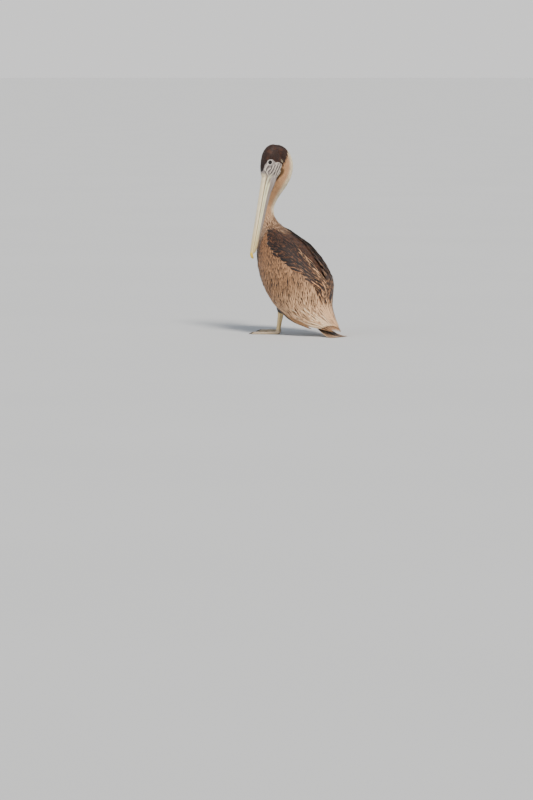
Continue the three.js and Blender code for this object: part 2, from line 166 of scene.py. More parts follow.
# The bare face on each side of the head, as points (along the bill, towards the crown).
BARE_FACE = [
    (58, 27), (50, 25.7), (25, 26.5), (12, 21), (2, 14), (-1, 3), (6, -9), (7, -14), (4, -26), (4, -37),
    (9, -46), (16, -52), (30, -55), (50, -50), (69, -44), (90, -40), (110, -36), (110, 27),
]
# The folded wing, as angles from the back at even steps of the hull from WING_FROM to its end.
WING_FROM = 0.17
WING_BACK = [40, 24, 18, 14, 8, 4, 3, 3, 3]
WING_BELLY = [84, 120, 130, 132, 130, 124, 116, 108, 96]
WING_PROUD = [1, 6, 9, 8, 7, 6, 5, 3, 1]
WING_SUNK = [4, 12, 15, 15, 14, 12, 9, 6, 3]
SHELL_END, COVERTS_END = 0.74, 0.8  # shares where the wing's skin and its coverts end
# The lower edge of the scapulars: share of the hull's length, angle from the back.
SCAPULAR_EDGE = [(0.2, 62), (0.26, 80), (0.293, 79), (0.344, 67), (0.393, 65), (0.426, 60), (0.466, 49),
                 (0.605, 32), (0.7, 14)]

ANKLES = {"left": np.array([38.0, 22, 15]), "right": np.array([-38.0, -32, 15])}
HEELS = {"left": np.array([42.0, 34, 92]), "right": np.array([-42.0, -14, 92])}
SIDES = {"left": 1, "right": -1}
TOE_OUT = 12.0
# Toes: angle from straight ahead, length, and radius at the root and at the tip.
TOES = [(62, 44, 6.2, 3.4), (25, 78, 7, 3.6), (0, 98, 7.4, 3.8), (-24, 94, 7, 3.6)]
WEB_TOP = 3.0

# How the colours differ from their swatches, to hold in studio light.
CONTRAST, GAIN, RICHNESS = 1.4, 1.3, 1.1


def shade(red, green, blue):
    """A linear colour from the 0-255 values of a colour swatch, made deeper and a little richer."""
    c = np.array([red, green, blue]) / 255
    linear = GAIN * np.where(c <= 0.04045, c / 12.92, ((c + 0.055) / 1.055) ** 2.4) ** CONTRAST
    grey = linear.mean()
    return np.clip(grey + (linear - grey) * RICHNESS, 0.002, 0.85)


# ---------------------------------------------------------------- small tools


def ramp(x, low, high):
    w = np.clip((np.asarray(x, float) - low) / (high - low), 0, 1)
    return w * w * (3 - 2 * w)


def mix(a, b, w):
    """From a to b by w. Colours, which end in three channels, take one w each."""
    w = np.asarray(w, float)
    if 3 in (*np.shape(a)[-1:], *np.shape(b)[-1:]) and w.ndim and w.shape[-1] != 1:
        w = w[..., None]
    return a * (1 - w) + b * w


def unit(v):
    return v / np.maximum(np.linalg.norm(v, axis=-1, keepdims=True), 1e-9)


def dot(a, b):
    return (a * b).sum(-1, keepdims=True)


def along(values, t):
    return np.interp(t, np.linspace(0, 1, len(values)), values)


def catmull(points, t):
    """A centripetal Catmull-Rom curve through the points, at shares t of its spans."""
    ends = np.vstack([2 * points[0] - points[1], points, 2 * points[-1] - points[-2]])
    place = np.clip(t, 0, 1) * (len(points) - 1)
    i = np.minimum(place.astype(int), len(points) - 2)
    w = (place - i)[:, None]
    a, b, c, d = (ends[i + k] for k in range(4))
    span = lambda p, q: ((q - p) ** 2).sum(-1, keepdims=True) ** 0.25
    s0, s1, s2 = span(a, b), span(b, c), span(c, d)
    s1 = np.where(s1 < 1e-4, 1.0, s1)
    s0 = np.where(s0 < 1e-4, s1, s0)
    s2 = np.where(s2 < 1e-4, s1, s2)
    m1 = ((b - a) / s0 - (c - a) / (s0 + s1) + (c - b) / s1) * s1
    m2 = ((c - b) / s1 - (d - b) / (s1 + s2) + (d - c) / s2) * s1
    return b + m1 * w + (3 * (c - b) - 2 * m1 - m2) * w**2 + (2 * (b - c) + m1 + m2) * w**3


class Spine:
    """Rounded sections along a line. Angle 0 of a section is the back, 90 degrees the left side."""

    def __init__(self, stations, headward=False):
        rows = np.array([list(s) + [2.0, 0.0][len(s) - 6 :] for s in stations], float)
        self.middles, self.sizes = rows[:, :3], rows[:, 3:6]
        self.kinds = np.column_stack([rows[:, 6], np.radians(rows[:, 7])])
        self.headward = headward

    def section(self, t):
        t = np.atleast_1d(np.asarray(t, float))
        middle = catmull(self.middles, t)
        ahead, behind = np.minimum(t + 1e-4, 1), np.maximum(t - 1e-4, 0)
        tangent = unit(catmull(self.middles, ahead) - catmull(self.middles, behind))
        kind = catmull(self.kinds, t)
        left = np.column_stack([np.cos(kind[:, 1]), np.sin(kind[:, 1]), np.zeros(len(t))])
        left = unit(left - tangent * dot(left, tangent))
        up = np.cross(left, tangent) * (-1 if self.headward else 1)
        size = np.maximum(catmull(self.sizes, t), 0.4)
        return middle, tangent, left, up, size, kind[:, :1]

    def point(self, t, angle, grow=0.0):
        t, angle, grow = np.broadcast_arrays(np.asarray(t, float), angle, grow)
        middle, _, left, up, size, square = self.section(t.ravel())
        s, c = np.sin(angle).reshape(-1, 1), np.cos(angle).reshape(-1, 1)
        g = grow.reshape(-1, 1)
        bend = lambda v: np.sign(v) * np.abs(v) ** (2 / square)
        reach = np.where(c > 0, size[:, 1:2], size[:, 2:3])
        aside = left * bend(s) * np.maximum(size[:, :1] + g, 0.3)
        made = middle + aside + up * bend(c) * np.maximum(reach + g, 0.3)
        return made.reshape(*t.shape, 3)

    def rings(self, rows, across, grow=0.0, start=0.0, end=1.0):
        t = np.linspace(start, end, rows + 1)[:, None]
        angle = np.arange(across)[None] * 2 * np.pi / across
        return self.point(t + 0 * angle, angle + 0 * t, grow)

    def coordinates(self, points, samples=120):
        """Share along the line, angle (radians) and depth ratio (1 on the section's outline) of points."""
        t = np.linspace(0, 1, samples)
        line = catmull(self.middles, t)
        gap = (points**2).sum(1)[:, None] - 2 * points @ line.T + (line**2).sum(1)
        t = t[gap.argmin(1)]
        moved = catmull(self.middles, t + 1e-3) - catmull(self.middles, t - 1e-3)
        speed = np.linalg.norm(moved, axis=1) / 2e-3
        middle, tangent = self.section(t)[:2]
        t = np.clip(t + ((points - middle) * tangent).sum(1) / np.maximum(speed, 1), 0, 1)
        middle, tangent, left, up, size, square = self.section(t)
        x, y = dot(points - middle, left), dot(points - middle, up)
        reach = np.where(y > 0, size[:, 1:2], size[:, 2:3])
        far = np.abs(dot(points - middle, tangent)) / size[:, :1]
        p, q = (np.abs(x) / size[:, :1]) ** (square / 2), (np.abs(y) / reach) ** (square / 2)
        depth = (p**2 + q**2) ** (1 / square)
        return t, np.arctan2(np.sign(x) * p, np.sign(y) * q)[:, 0], np.hypot(depth, far)[:, 0]


FACING = np.array([np.sin(HEAD_TURN), -np.cos(HEAD_TURN), 0])
ALONG_BILL = FACING * np.sin(BILL_LEAN) - np.array([0, 0, np.cos(BILL_LEAN)])
TO_CROWN = FACING * np.cos(BILL_LEAN) + np.array([0, 0, np.sin(BILL_LEAN)])
TO_LEFT = np.array([np.cos(HEAD_TURN), np.sin(HEAD_TURN), 0])
HEAD_AXES = np.array([ALONG_BILL, TO_LEFT, TO_CROWN])


def on_head(places):
    return HEAD_AT + np.asarray(places, float) @ HEAD_AXES


def head_places(points):
    return (points - HEAD_AT) @ HEAD_AXES.T


def head_spine(stations):
    turn = np.degrees(HEAD_TURN)
    return Spine([(*on_head((a, 0, c)), *rest, turn) for a, c, *rest in stations], headward=True)


hull, trunk, tail = Spine(HULL), Spine(TRUNK), Spine(TAIL)
neck = Spine(NECK, headward=True)
skull, cheek, upper_bill = head_spine(SKULL), head_spine(CHEEK), head_spine(BILL_UPPER)


def thigh_spine(name):
    side, (x, y, z) = SIDES[name], HEELS[name]
    stations = [
        (x, y + 5, z - 9, 10, 12, 11),
        (x + side, y + 9, z + 8, 17, 20, 18),
        (side * 44, y * 0.6 + 30, z + 32, 27, 32, 30),
        (side * 46, y * 0.5 + 48, z + 62, 32, 40, 38),
    ]
    return Spine(stations, headward=True)


thighs = [thigh_spine(name) for name in SIDES]

# The bird's own frame lies in the part's frame as its left eye does.
eye_low, eye_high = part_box("eye_left")
ORIGIN = np.array((eye_low + eye_high) / 2) * 1000 - on_head(EYE_AT)


def to_part(points):
    return (points + ORIGIN) / 1000


def from_part(points):
    return points * 1000 - ORIGIN


def tube(rings):
    """A closed skin over rings of points: vertices and quads, with a fan over each end."""
    rows, across = rings.shape[:2]
    verts = np.vstack([rings.reshape(-1, 3), rings[0].mean(0), rings[-1].mean(0)])
    row, column = np.arange(rows - 1)[:, None] * across, np.arange(across)[None]
    beside = (column + 1) % across
    quads = np.stack([row + column, row + beside, row + across + beside, row + across + column], -1)
    faces = quads.reshape(-1, 4).tolist()
    last, first_middle = (rows - 1) * across, rows * across
    for j in range(across):
        k = (j + 1) % across
        faces.append([first_middle, k, j])
        faces.append([first_middle + 1, last + j, last + k])
    return verts, faces


def joined(parts):
    verts, faces, count = [], [], 0
    for v, f in parts:
        verts.append(v)
        faces += [[i + count for i in face] for face in f]
        count += len(v)
    return np.vstack(verts), faces


def make_object(name, verts, faces):
    mesh = bpy.data.meshes.new(name)
    mesh.from_pydata(to_part(verts).tolist(), [], faces)
    made = bpy.data.objects.new(name, mesh)
    bpy.context.scene.collection.objects.link(made)
    mesh.polygons.foreach_set("use_smooth", np.full(len(mesh.polygons), True))
    return made


def vertices_of(mesh):
    flat = np.empty(len(mesh.vertices) * 3)
    mesh.vertices.foreach_get("co", flat)
    return from_part(flat.reshape(-1, 3))


def normals_of(mesh):
    flat = np.empty(len(mesh.vertices) * 3, np.float32)
    mesh.vertex_normals.foreach_get("vector", flat)
    return flat.reshape(-1, 3).astype(float)


def set_vertices(mesh, points):
    mesh.vertices.foreach_set("co", to_part(points).ravel())
    mesh.update()


def set_colour(mesh, name, colours):
    layer = mesh.attributes.new(name, "FLOAT_COLOR", "POINT")
    layer.data.foreach_set("color", np.column_stack([colours, np.ones(len(colours))]).ravel())


def set_number(mesh, name, values):
    layer = mesh.attributes.new(name, "FLOAT", "POINT")
    layer.data.foreach_set("value", np.ascontiguousarray(values, np.float32))


def set_vector(mesh, name, vectors):
    layer = mesh.attributes.new(name, "FLOAT_VECTOR", "POINT")
    layer.data.foreach_set("vector", vectors.astype(np.float32).ravel())


def fused(name, parts, voxel, rounds):
    """One skin round overlapping closed shapes, smoothed a few rounds."""
    rough = make_object(name + "_rough", *joined(parts))
    remesh = rough.modifiers.new("fuse", "REMESH")
    remesh.mode = "VOXEL"
    remesh.voxel_size = voxel / 1000
    soften = rough.modifiers.new("soften", "SMOOTH")
    soften.factor, soften.iterations = 0.5, rounds
    mesh = bpy.data.meshes.new_from_object(rough.evaluated_get(bpy.context.evaluated_depsgraph_get()))
    bpy.data.objects.remove(rough)
    made = bpy.data.objects.new(name, mesh)
    bpy.context.scene.collection.objects.link(made)
    mesh.polygons.foreach_set("use_smooth", np.full(len(mesh.polygons), True))
    return made


def noise_at(points, size, seed=0.0):
    """Smooth noise from -1 to 1 at points, with lumps about size across."""
    shift = Vector((seed * 7.3, seed * 3.1, seed * 5.7))
    return np.array([noise.noise(Vector(p) + shift) for p in points / size])


def segment_distance(a, c, start, end):
    """Distance of the points (a, c) from a straight segment."""
    (ax, ay), (bx, by) = start, end
    w = ((a - ax) * (bx - ax) + (c - ay) * (by - ay)) / ((bx - ax) ** 2 + (by - ay) ** 2)
    w = np.clip(w, 0, 1)
    return np.hypot(a - ax - w * (bx - ax), c - ay - w * (by - ay))


def outline_depth(a, c, corners):
    """Distance inside (positive) or outside (negative) of a closed outline."""
    corners = np.array(corners, float)
    ends = np.roll(corners, -1, 0)
    inside = np.zeros(len(a), bool)
    nearest = np.full(len(a), 1e9)
    for (ax, ay), (bx, by) in zip(corners, ends):
        crosses = (ay > c) != (by > c)
        inside ^= crosses & (a < (bx - ax) * (c - ay) / ((by - ay) or 1e-9) + ax)
        nearest = np.minimum(nearest, segment_distance(a, c, (ax, ay), (bx, by)))
    return np.where(inside, nearest, -nearest)


# ---------------------------------------------------------------- where things are on the bird


def eye_distance(places):
    return np.hypot(places[:, 0] - EYE_AT[0], places[:, 2] - EYE_AT[2])


def bareness(points):
    """1 on the bare skin of the face, 0 under feathers."""
    places = head_places(points)
    inside = outline_depth(places[:, 0], places[:, 2], BARE_FACE)
    ring = EYE_RING - eye_distance(places)
    near_head = ramp(np.abs(places[:, 1]), 45, 38)
    off_neck = ramp(neck.coordinates(points)[2], 0.93, 1.0)
    return ramp(np.maximum(inside, ring), -0.6, 0.6) * near_head * off_neck


def wing_range(t):
    share = (t - WING_FROM) / (1 - WING_FROM)
    return np.radians(along(WING_BACK, share)), np.radians(along(WING_BELLY, share))


def on_wing(t, angle):
    """Whether points of the hull carry the folded wing."""
    first, last = wing_range(t)
    return (t > WING_FROM + 0.01) & (np.abs(angle) > first) & (np.abs(angle) < last - np.radians(3))


def scapular_edge(t):
    at, angle = zip(*SCAPULAR_EDGE)
    return np.radians(np.interp(t, at, angle))


def part_weights(points):
    """Shares of head, neck and hull at points, and their places on the hull and the neck."""
    hull_t, hull_angle, hull_depth = hull.coordinates(points)
    neck_t, neck_angle, neck_depth = neck.coordinates(points)
    a, l, c = head_places(points).T
    head_depth = np.sqrt((a / 60) ** 2 + (l / 28) ** 2 + ((c + 6) / np.where(c > -6, 40, 46)) ** 2)
    neck_share = ramp(hull_depth - neck_depth, -0.1, 0.25)
    head_share = ramp(neck_depth - head_depth, -0.1, 0.1) * ramp(points[:, 2], 560, 590)
    return head_share, neck_share * (1 - head_share), hull_t, hull_angle, neck_t, neck_angle


def lie(points):
    """Which way the feathers lie at points of the skin: back over the head, down the neck, to the tail."""
    head_share, neck_share, hull_t, _, neck_t, _ = part_weights(points)
    a, _, c = head_places(points).T
    turned = unit(np.column_stack([-(c + 22), 0 * a, a - 26]) @ HEAD_AXES)
    down_neck = -neck.section(neck_t)[1]
    down_body = hull.section(hull_t)[1]
    body_share = 1 - head_share - neck_share
    ways = turned * head_share[:, None] + down_neck * neck_share[:, None]
    return unit(ways + down_body * body_share[:, None])


# ---------------------------------------------------------------- colours of the plumage

CROWN, CROWN_LIGHT, CROWN_DARK = shade(54, 36, 31), shade(90, 62, 48), shade(36, 27, 25)
NECK_TAN, NECK_CREAM, NECK_PINK = shade(178, 149, 122), shade(226, 213, 192), shade(170, 141, 124)
HACKLE, HACKLE_EDGE = shade(110, 84, 66), shade(196, 172, 148)
MANTLE, MANTLE_EDGE = shade(64, 46, 38), shade(126, 94, 72)
BREAST, BREAST_EDGE = shade(124, 98, 78), shade(150, 122, 98)
# BELLY is partly painted shade: the belly's own pale grey-brown, darkened by the shade beneath the body.
BELLY, BELLY_EDGE = shade(92, 80, 71), shade(116, 103, 92)
# THIGH is partly the thigh feathers' own dark grey and partly painted shade under the body.
THIGH, THIGH_EDGE = shade(62, 60, 62), shade(92, 88, 86)
FACE_EDGE_SHADOW = shade(112, 90, 64)  # painted shadow on the feathers along the rear edge of the bare face, where it meets the neck
VENT = shade(206, 198, 184)
SCAPULAR, SCAPULAR_EDGE_TINT = shade(40, 27, 23), shade(122, 90, 69)
SCAPULAR_REAR, SCAPULAR_REAR_EDGE = shade(60, 42, 34), shade(186, 154, 126)
LESSER, LESSER_EDGE = shade(86, 63, 49), shade(158, 126, 100)
MEDIAN, MEDIAN_EDGE = shade(70, 51, 40), shade(162, 133, 107)
GREATER, GREATER_EDGE = shade(98, 75, 59), shade(200, 172, 145)
SILVER, SILVER_EDGE = shade(172, 148, 126), shade(218, 200, 176)
QUILL_DARK, QUILL_EDGE = shade(58, 44, 38), shade(176, 146, 118)
TAIL_TINT, TAIL_EDGE = shade(88, 67, 55), shade(192, 166, 140)
# FACE_DARK and FACE_PALE are painted shade in the face's hollows and painted light on its folds; FACE_DARK also
# mottles the bare skin.
FACE_SKIN, FACE_DARK, FACE_PALE = shade(160, 153, 149), shade(94, 85, 87), shade(218, 211, 200)


def plumage(points):
    """Tint and fringe of the feathers at points of the skin."""
    head_share, neck_share, hull_t, hull_angle, neck_t, neck_angle = part_weights(points)
    a, l, c = head_places(points).T
    lumps = noise_at(points, 14.0)[:, None]
    fine = noise_at(points, 5.0, 2)[:, None]

    stripe = np.radians(-32 + 62 * ramp(neck_t, 0.15, 0.8))
    turn = np.abs((neck_angle - stripe + np.pi) % (2 * np.pi) - np.pi)
    rim = ramp(turn, np.radians(58), np.radians(12)) * ramp(neck_t, 0.14, 0.26)
    throat = ramp(turn, np.radians(110), np.radians(170))
    tan = mix(mix(NECK_TAN, NECK_PINK, 0.8 * throat), NECK_CREAM, rim) * (1 + 0.16 * lumps + 0.14 * fine)
    low_neck = ramp(neck_t, 0.3, 0.12)
    neck_tint = mix(tan, HACKLE * (1 + 0.25 * fine), low_neck)
    neck_edge = mix(tan * 1.1, HACKLE_EDGE, low_neck)

    back = ramp(np.abs(hull_angle), np.radians(95), np.radians(60))
    # The belly's tone carries painted shade beneath the body.
    under = ramp(hull_t, 0.12, 0.36)
    body_tint = mix(mix(BREAST, BELLY, under), MANTLE, back) * (1 + 0.16 * lumps)
    body_edge = mix(mix(BREAST_EDGE, BELLY_EDGE, under), MANTLE_EDGE, back)
    collar = ramp(hull_t + 0.025 * fine[:, 0] + 0.02 * lumps[:, 0], 0.235, 0.13)
    body_tint = mix(body_tint, HACKLE * (1 + 0.3 * fine), 0.9 * collar)
    body_edge = mix(body_edge, HACKLE_EDGE, collar)
    vent = ramp(hull_t, 0.66, 0.72) * ramp(np.abs(hull_angle), np.radians(120), np.radians(150))
    body_tint, body_edge = mix(body_tint, VENT, vent), mix(body_edge, VENT, vent)
    # Thigh feathers dark grey: partly their own tone, partly painted shade under the body.
    for thigh in thighs:
        t, _, depth = thigh.coordinates(points)
        trousers = ramp(depth, 1.25, 1.0) * ramp(t, 0.85, 0.6)
        body_tint, body_edge = mix(body_tint, THIGH, trousers), mix(body_edge, THIGH_EDGE, trousers)

    # The dark cap covers the head down to a line from the ear to the top of the nape.
    cap = ramp(c - 0.107 * a + 48.5 + 3 * fine[:, 0], -3, 3) * ramp(a, -84, -70) * ramp(np.abs(l), 44, 36)
    cap = cap * (1 - ramp(a, 5, 12) * ramp(c, -36, -44)) * ramp(c, -75, -65) * ramp(a, 70, 60)
    front = ramp(a + 0.9 * c, 28, 52)
    spot = np.exp(-(((a + 8) / 3.6) ** 2) - ((c + 38) / 3.6) ** 2) * (l > 0)
    crown = CROWN * (1 + 0.4 * fine) + (CROWN_LIGHT - CROWN) * ramp(lumps, 0.0, 0.55) * 0.9
    crown = mix(mix(crown, CROWN_DARK, 0.8 * front), NECK_CREAM, 0.85 * spot)
    # Painted shadow: the feathers just behind the bare face's rear edge are tinted dark olive-brown.
    face_edge_shadow = ramp(outline_depth(a, c, BARE_FACE), -5, -1.5) * ramp(a, 8, 20) * ramp(c, -30, -36)
    tan_edge = mix(tan * 1.08, FACE_EDGE_SHADOW * 1.2, face_edge_shadow)
    tan = mix(tan, FACE_EDGE_SHADOW, face_edge_shadow)

    w, v = head_share[:, None], neck_share[:, None]
    rest = 1 - w - v
    tint = tan * w + mix(neck_tint, FACE_EDGE_SHADOW, face_edge_shadow) * v + body_tint * rest
    edge = tan_edge * w + mix(neck_edge, FACE_EDGE_SHADOW * 1.2, face_edge_shadow) * v + body_edge * rest
    return mix(tint, crown, cap), mix(edge, mix(crown, CROWN_LIGHT, 0.45), cap)


# ---------------------------------------------------------------- materials


class Paint:
    """A node material, written as a few calls."""

    def __init__(self, name, world=None):
        self.material = world or bpy.data.materials.new(name)
        self.material.use_nodes = True
        self.nodes = self.material.node_tree.nodes
        self.links = self.material.node_tree.links
        self.shader = self.nodes["Background" if world else "Principled BSDF"]

    def put(self, socket, value):
        if isinstance(value, bpy.types.NodeSocket):
            self.links.new(value, socket)
        else:
            is_colour = socket.type == "RGBA" and len(value) == 3
            socket.default_value = (*value, 1.0) if is_colour else value

    def node(self, kind, inputs=(), output=0, **settings):
        made = self.nodes.new(kind)
        for key, value in settings.items():
            setattr(made, key, value)
        for key, value in dict(inputs).items():
            self.put(made.inputs[key], value)
        return made.outputs[output]

    def attribute(self, name, output="Fac"):
        return self.node("ShaderNodeAttribute", output=output, attribute_name=name)

    def math(self, operation, *values):
        return self.node("ShaderNodeMath", enumerate(values), operation=operation)

    def step(self, value, low, high):
        inputs = {"Value": value, "From Min": low, "From Max": high}
        return self.node("ShaderNodeMapRange", inputs, interpolation_type="SMOOTHSTEP")

    def blend(self, factor, a, b, kind="MIX"):
        made = self.nodes.new("ShaderNodeMix")
        made.data_type, made.blend_type = "RGBA", kind
        for index, value in ((0, factor), (6, a), (7, b)):
            self.put(made.inputs[index], value)
        return made.outputs[2]

    def place(self):
        return self.node("ShaderNodeTexCoord", output="Object")

    def noise(self, scale, detail=3.0, stretch=(1, 1, 1), output="Fac", vector=None):
        at = vector if vector is not None else self.place()
        if stretch != (1, 1, 1):
            at = self.node("ShaderNodeMapping", {"Vector": at, "Scale": stretch})
        inputs = {"Vector": at, "Scale": scale, "Detail": detail}
        return self.node("ShaderNodeTexNoise", inputs, output=output)

    def bump(self, height, strength, distance):
        inputs = {"Height": height, "Strength": strength, "Distance": distance / 1000}
        return self.node("ShaderNodeBump", inputs)

    def finish(self, **inputs):
        for key, value in inputs.items():
            self.put(self.shader.inputs[key.replace("_", " ")], value)
        return self.material


def feather_material(name, barbs, shaft_tint, broken=0.0, gloss=0.62):
    """Vane colours from the mesh: a centre and a ragged fringe, a shaft and fine slanting barbs.

    Broken is the share of the fringe's strength that is lost in worn places."""
    m = Paint(name)
    vane = m.node("ShaderNodeSeparateXYZ", {"Vector": m.attribute("vane", "Vector")}, 0)
    parts = vane.node.outputs
    across, down, luck = m.math("ABSOLUTE", parts[0]), parts[1], parts[2]
    rough = m.math("MULTIPLY", m.math("SUBTRACT", m.noise(420.0), 0.5), 0.55)
    end = m.math("MULTIPLY", m.math("MAXIMUM", m.math("SUBTRACT", down, 0.45), 0.0), 0.75)
    rim = m.math("ADD", m.math("ADD", across, end), rough)
    start = m.attribute("edge")
    mask = m.step(m.math("SUBTRACT", rim, start), -0.1, 0.12)
    worn = m.math("MULTIPLY", m.step(m.noise(75.0, 2.0), 0.56, 0.42), broken)
    mask = m.math("MULTIPLY", mask, m.math("SUBTRACT", 1.0, worn))
    tone = m.blend(mask, m.attribute("tint", "Color"), m.attribute("fringe", "Color"))
    slant = m.math("ADD", m.math("MULTIPLY", down, barbs), m.math("MULTIPLY", across, -0.28 * barbs))
    wave = m.math("SINE", m.math("ADD", m.math("MULTIPLY", slant, 6.283), m.math("MULTIPLY", luck, 40.0)))
    split = m.math("MULTIPLY", m.noise(1500.0, 2.0), 0.5)
    grain = m.math("ADD", m.math("MULTIPLY", wave, 0.07), m.math("ADD", split, 0.72))
    tone = m.blend(1.0, tone, m.node("ShaderNodeCombineColor", {0: grain, 1: grain, 2: grain}), "MULTIPLY")
    shaft = m.math("MULTIPLY", m.step(across, 0.11, 0.03), m.step(down, 0.98, 0.7))
    tone = m.blend(m.math("MULTIPLY", shaft, 0.7), tone, shaft_tint)
    relief = m.math("ADD", m.math("MULTIPLY", wave, 0.35), m.math("MULTIPLY", shaft, 0.9))
    m.finish(Base_Color=tone, Normal=m.bump(relief, 0.35, 0.25), Roughness=gloss)
    return m.finish(Sheen_Weight=0.12, Sheen_Roughness=0.5, Specular_IOR_Level=0.3)


def skin_material():
    """Bare grey skin of the face, finely creased, and the hidden skin under the coat."""
    m = Paint("skin")
    inputs = {"Vector": m.place(), "Scale": 520.0}
    creases = m.node("ShaderNodeTexVoronoi", inputs, feature="DISTANCE_TO_EDGE")
    fine = m.noise(900.0, 4.0)
    relief = m.math("ADD", m.math("MULTIPLY", m.step(creases, 0.0, 0.25), 0.5), fine)
    bare = m.attribute("bare")
    tone = m.blend(m.math("MULTIPLY", fine, 0.35), m.attribute("tint", "Color"), FACE_DARK)
    tone = m.blend(bare, m.attribute("tint", "Color"), tone)
    normal = m.bump(m.math("MULTIPLY", relief, bare), 0.5, 0.35)
    return m.finish(Base_Color=tone, Normal=normal, Roughness=0.55, Specular_IOR_Level=0.4)


def horn_material(name, roughness, streak=260.0, relief=0.3):
    """Horn with long fine streaks; its colours come with the mesh."""
    m = Paint(name)
    lines = m.noise(1.0, 4.0, vector=m.attribute("grain", "Vector"))
    patches = m.noise(60.0, 3.0)
    fine = m.noise(streak * 4, 3.0)
    tone = m.blend(m.step(lines, 0.42, 0.75), m.attribute("tint", "Color"), m.attribute("fringe", "Color"))
    patchy = m.math("MULTIPLY", patches, 0.3)
    value = m.math("ADD", patchy, m.math("ADD", m.math("MULTIPLY", fine, 0.16), 0.77))
    tone = m.blend(1.0, tone, m.node("ShaderNodeCombineColor", {0: value, 1: value, 2: value}), "MULTIPLY")
    height = m.math("ADD", lines, m.math("MULTIPLY", fine, 0.4))
    m.finish(Base_Color=tone, Normal=m.bump(height, relief, 0.3))
    return m.finish(Roughness=roughness, Specular_IOR_Level=0.4)


# ---------------------------------------------------------------- the skin


def wing_shell(side, rows=70, across=30):
    """The folded wing's own shell, inside its feathers, with its thin end left to the long quills."""
    rings = []
    for share in np.linspace(0, SHELL_END, rows + 1):
        place = WING_FROM + (1 - WING_FROM) * share
        first, last = wing_range(place)
        w = np.linspace(0, 1, across + 1)
        belly = np.sin(np.pi * w) ** 0.6
        angle = side * (first + (last - first) * w)
        depth = COAT["wing"]
        outer = hull.point(place, angle, 0.6 + along(WING_PROUD, share) * belly - depth)
        inner = hull.point(place, angle, -1.5 - along(WING_SUNK, share) * belly - depth)
        rings.append(np.vstack([outer, inner[::-1]]))
    return tube(np.array(rings))


def refine_face(mesh, cuts=3):
    """Finer faces where the skin is bare and round the eyes."""
    shape = bmesh.new()
    shape.from_mesh(mesh)
    shape.verts.ensure_lookup_table()
    points = from_part(np.array([v.co for v in shape.verts]))
    places = head_places(points)
    inside = outline_depth(places[:, 0], places[:, 2], BARE_FACE)
    near = (np.maximum(inside, 13 - eye_distance(places)) > -3) & (np.abs(places[:, 1]) < 40)
    edges = [e for e in shape.edges if near[e.verts[0].index] and near[e.verts[1].index]]
    bmesh.ops.subdivide_edges(shape, edges=edges, cuts=cuts, use_grid_fill=True)
    fine = [v for v in shape.verts if v.index >= len(near) or near[v.index]]
    for _ in range(4):
        bmesh.ops.smooth_vert(
            shape, verts=fine, factor=0.5, use_axis_x=True, use_axis_y=True, use_axis_z=True,
        )
    bmesh.ops.triangulate(shape, faces=[f for f in shape.faces if len(f.verts) > 4])
    shape.to_mesh(mesh)
    shape.free()
    mesh.polygons.foreach_set("use_smooth", np.full(len(mesh.polygons), True))


# Folds and creases of the bare face, as lines of points (along the bill, towards the crown).
FACE_FOLDS = [
    [(13, -12), (6, -23), (5, -37), (13, -49), (25, -52), (43, -46), (59, -40), (74, -35)],
    [(33, -17), (39, -16), (47, -12.7), (60, -6.2), (74, -2), (90, 1)],
    [(19, -6.6), (28, -5.6), (42, -2.3), (52, 1.3)],
    [(13, -20), (20, -17.5), (30, -16)],
    [(12, -31), (28, -27.7), (40, -26.5), (56, -26.5), (72, -24.8)],
    [(16, -44), (33, -40), (46, -36), (60, -32.5)],
    [(20, 17), (28, 21), (40, 22), (48, 19)],
    [(32, 5), (41, 12), (50, 13), (57, 8)],
]
FACE_CREASES = [
    [(47, 21), (54, 15), (61, 9), (67, 6), (80, 5.6)],
    [(43, -4), (53, -1), (55, 6)],
    [(18, -12), (32, -10), (44, -7.5), (57, -3)],
    [(12, -37), (25, -34.5), (41, -31.5), (56, -29.5)],
    [(11, -26), (22, -23.5), (36, -21.5)],
    [(22, -48.5), (38, -43), (52, -38.5), (66, -33)],
    [(24, 1), (34, 0), (42, 4), (47, 8)],
    [(26, 12), (36, 17), (44, 16)],
]
# The slit between the jaws, on the cheek; it is sunk into the skin and painted dark as its shade.
GAPE = [[(42, -23.5), (54, -21), (62, -17.5), (68, -14), (82, -8.5)]]


def line_closeness(places, lines, width):
    """1 on the lines, falling to 0 at about twice the width from them."""
    a, c = places[:, 0], places[:, 2]
    best = np.full(len(places), 1e9)
    for line in lines:
        for start, end in zip(line, line[1:]):
            best = np.minimum(best, segment_distance(a, c, start, end))
    return np.exp(-((best / width) ** 2))


def bent_lines(places):
    """Places shifted a little by noise, so that lines drawn through them wander."""
    shift = np.column_stack([noise_at(places, 7.0, 11), 0 * places[:, 0], noise_at(places, 7.0, 12)])
    return places + 1.6 * shift


def folds(places):
    """Height of the bare face: the drawn folds and creases over finer pleats that run down to the bill."""
    a, l, c = places.T
    drift = noise_at(np.column_stack([a / 2.6, l, c]), 9.0, 4)
    fan = (c + 10) / (1 + 0.006 * (a - 20)) + 3.2 * drift
    pleat = np.cos(2 * np.pi * fan / 3.6) * ramp(a, 12, 26)
    broad = noise_at(np.column_stack([a / 1.6, l, c]), 6.5, 9)
    small = noise_at(np.column_stack([a / 2, l, c]), 2.0, 6)
    bent = bent_lines(places)
    drawn = 1.0 * line_closeness(bent, FACE_FOLDS, 1.7) - 0.9 * line_closeness(bent, FACE_CREASES, 1.1)
    return drawn + 0.22 * pleat + 0.4 * broad + 0.28 * small


def gape_closeness(places):
    return line_closeness(places, GAPE, 1.5)


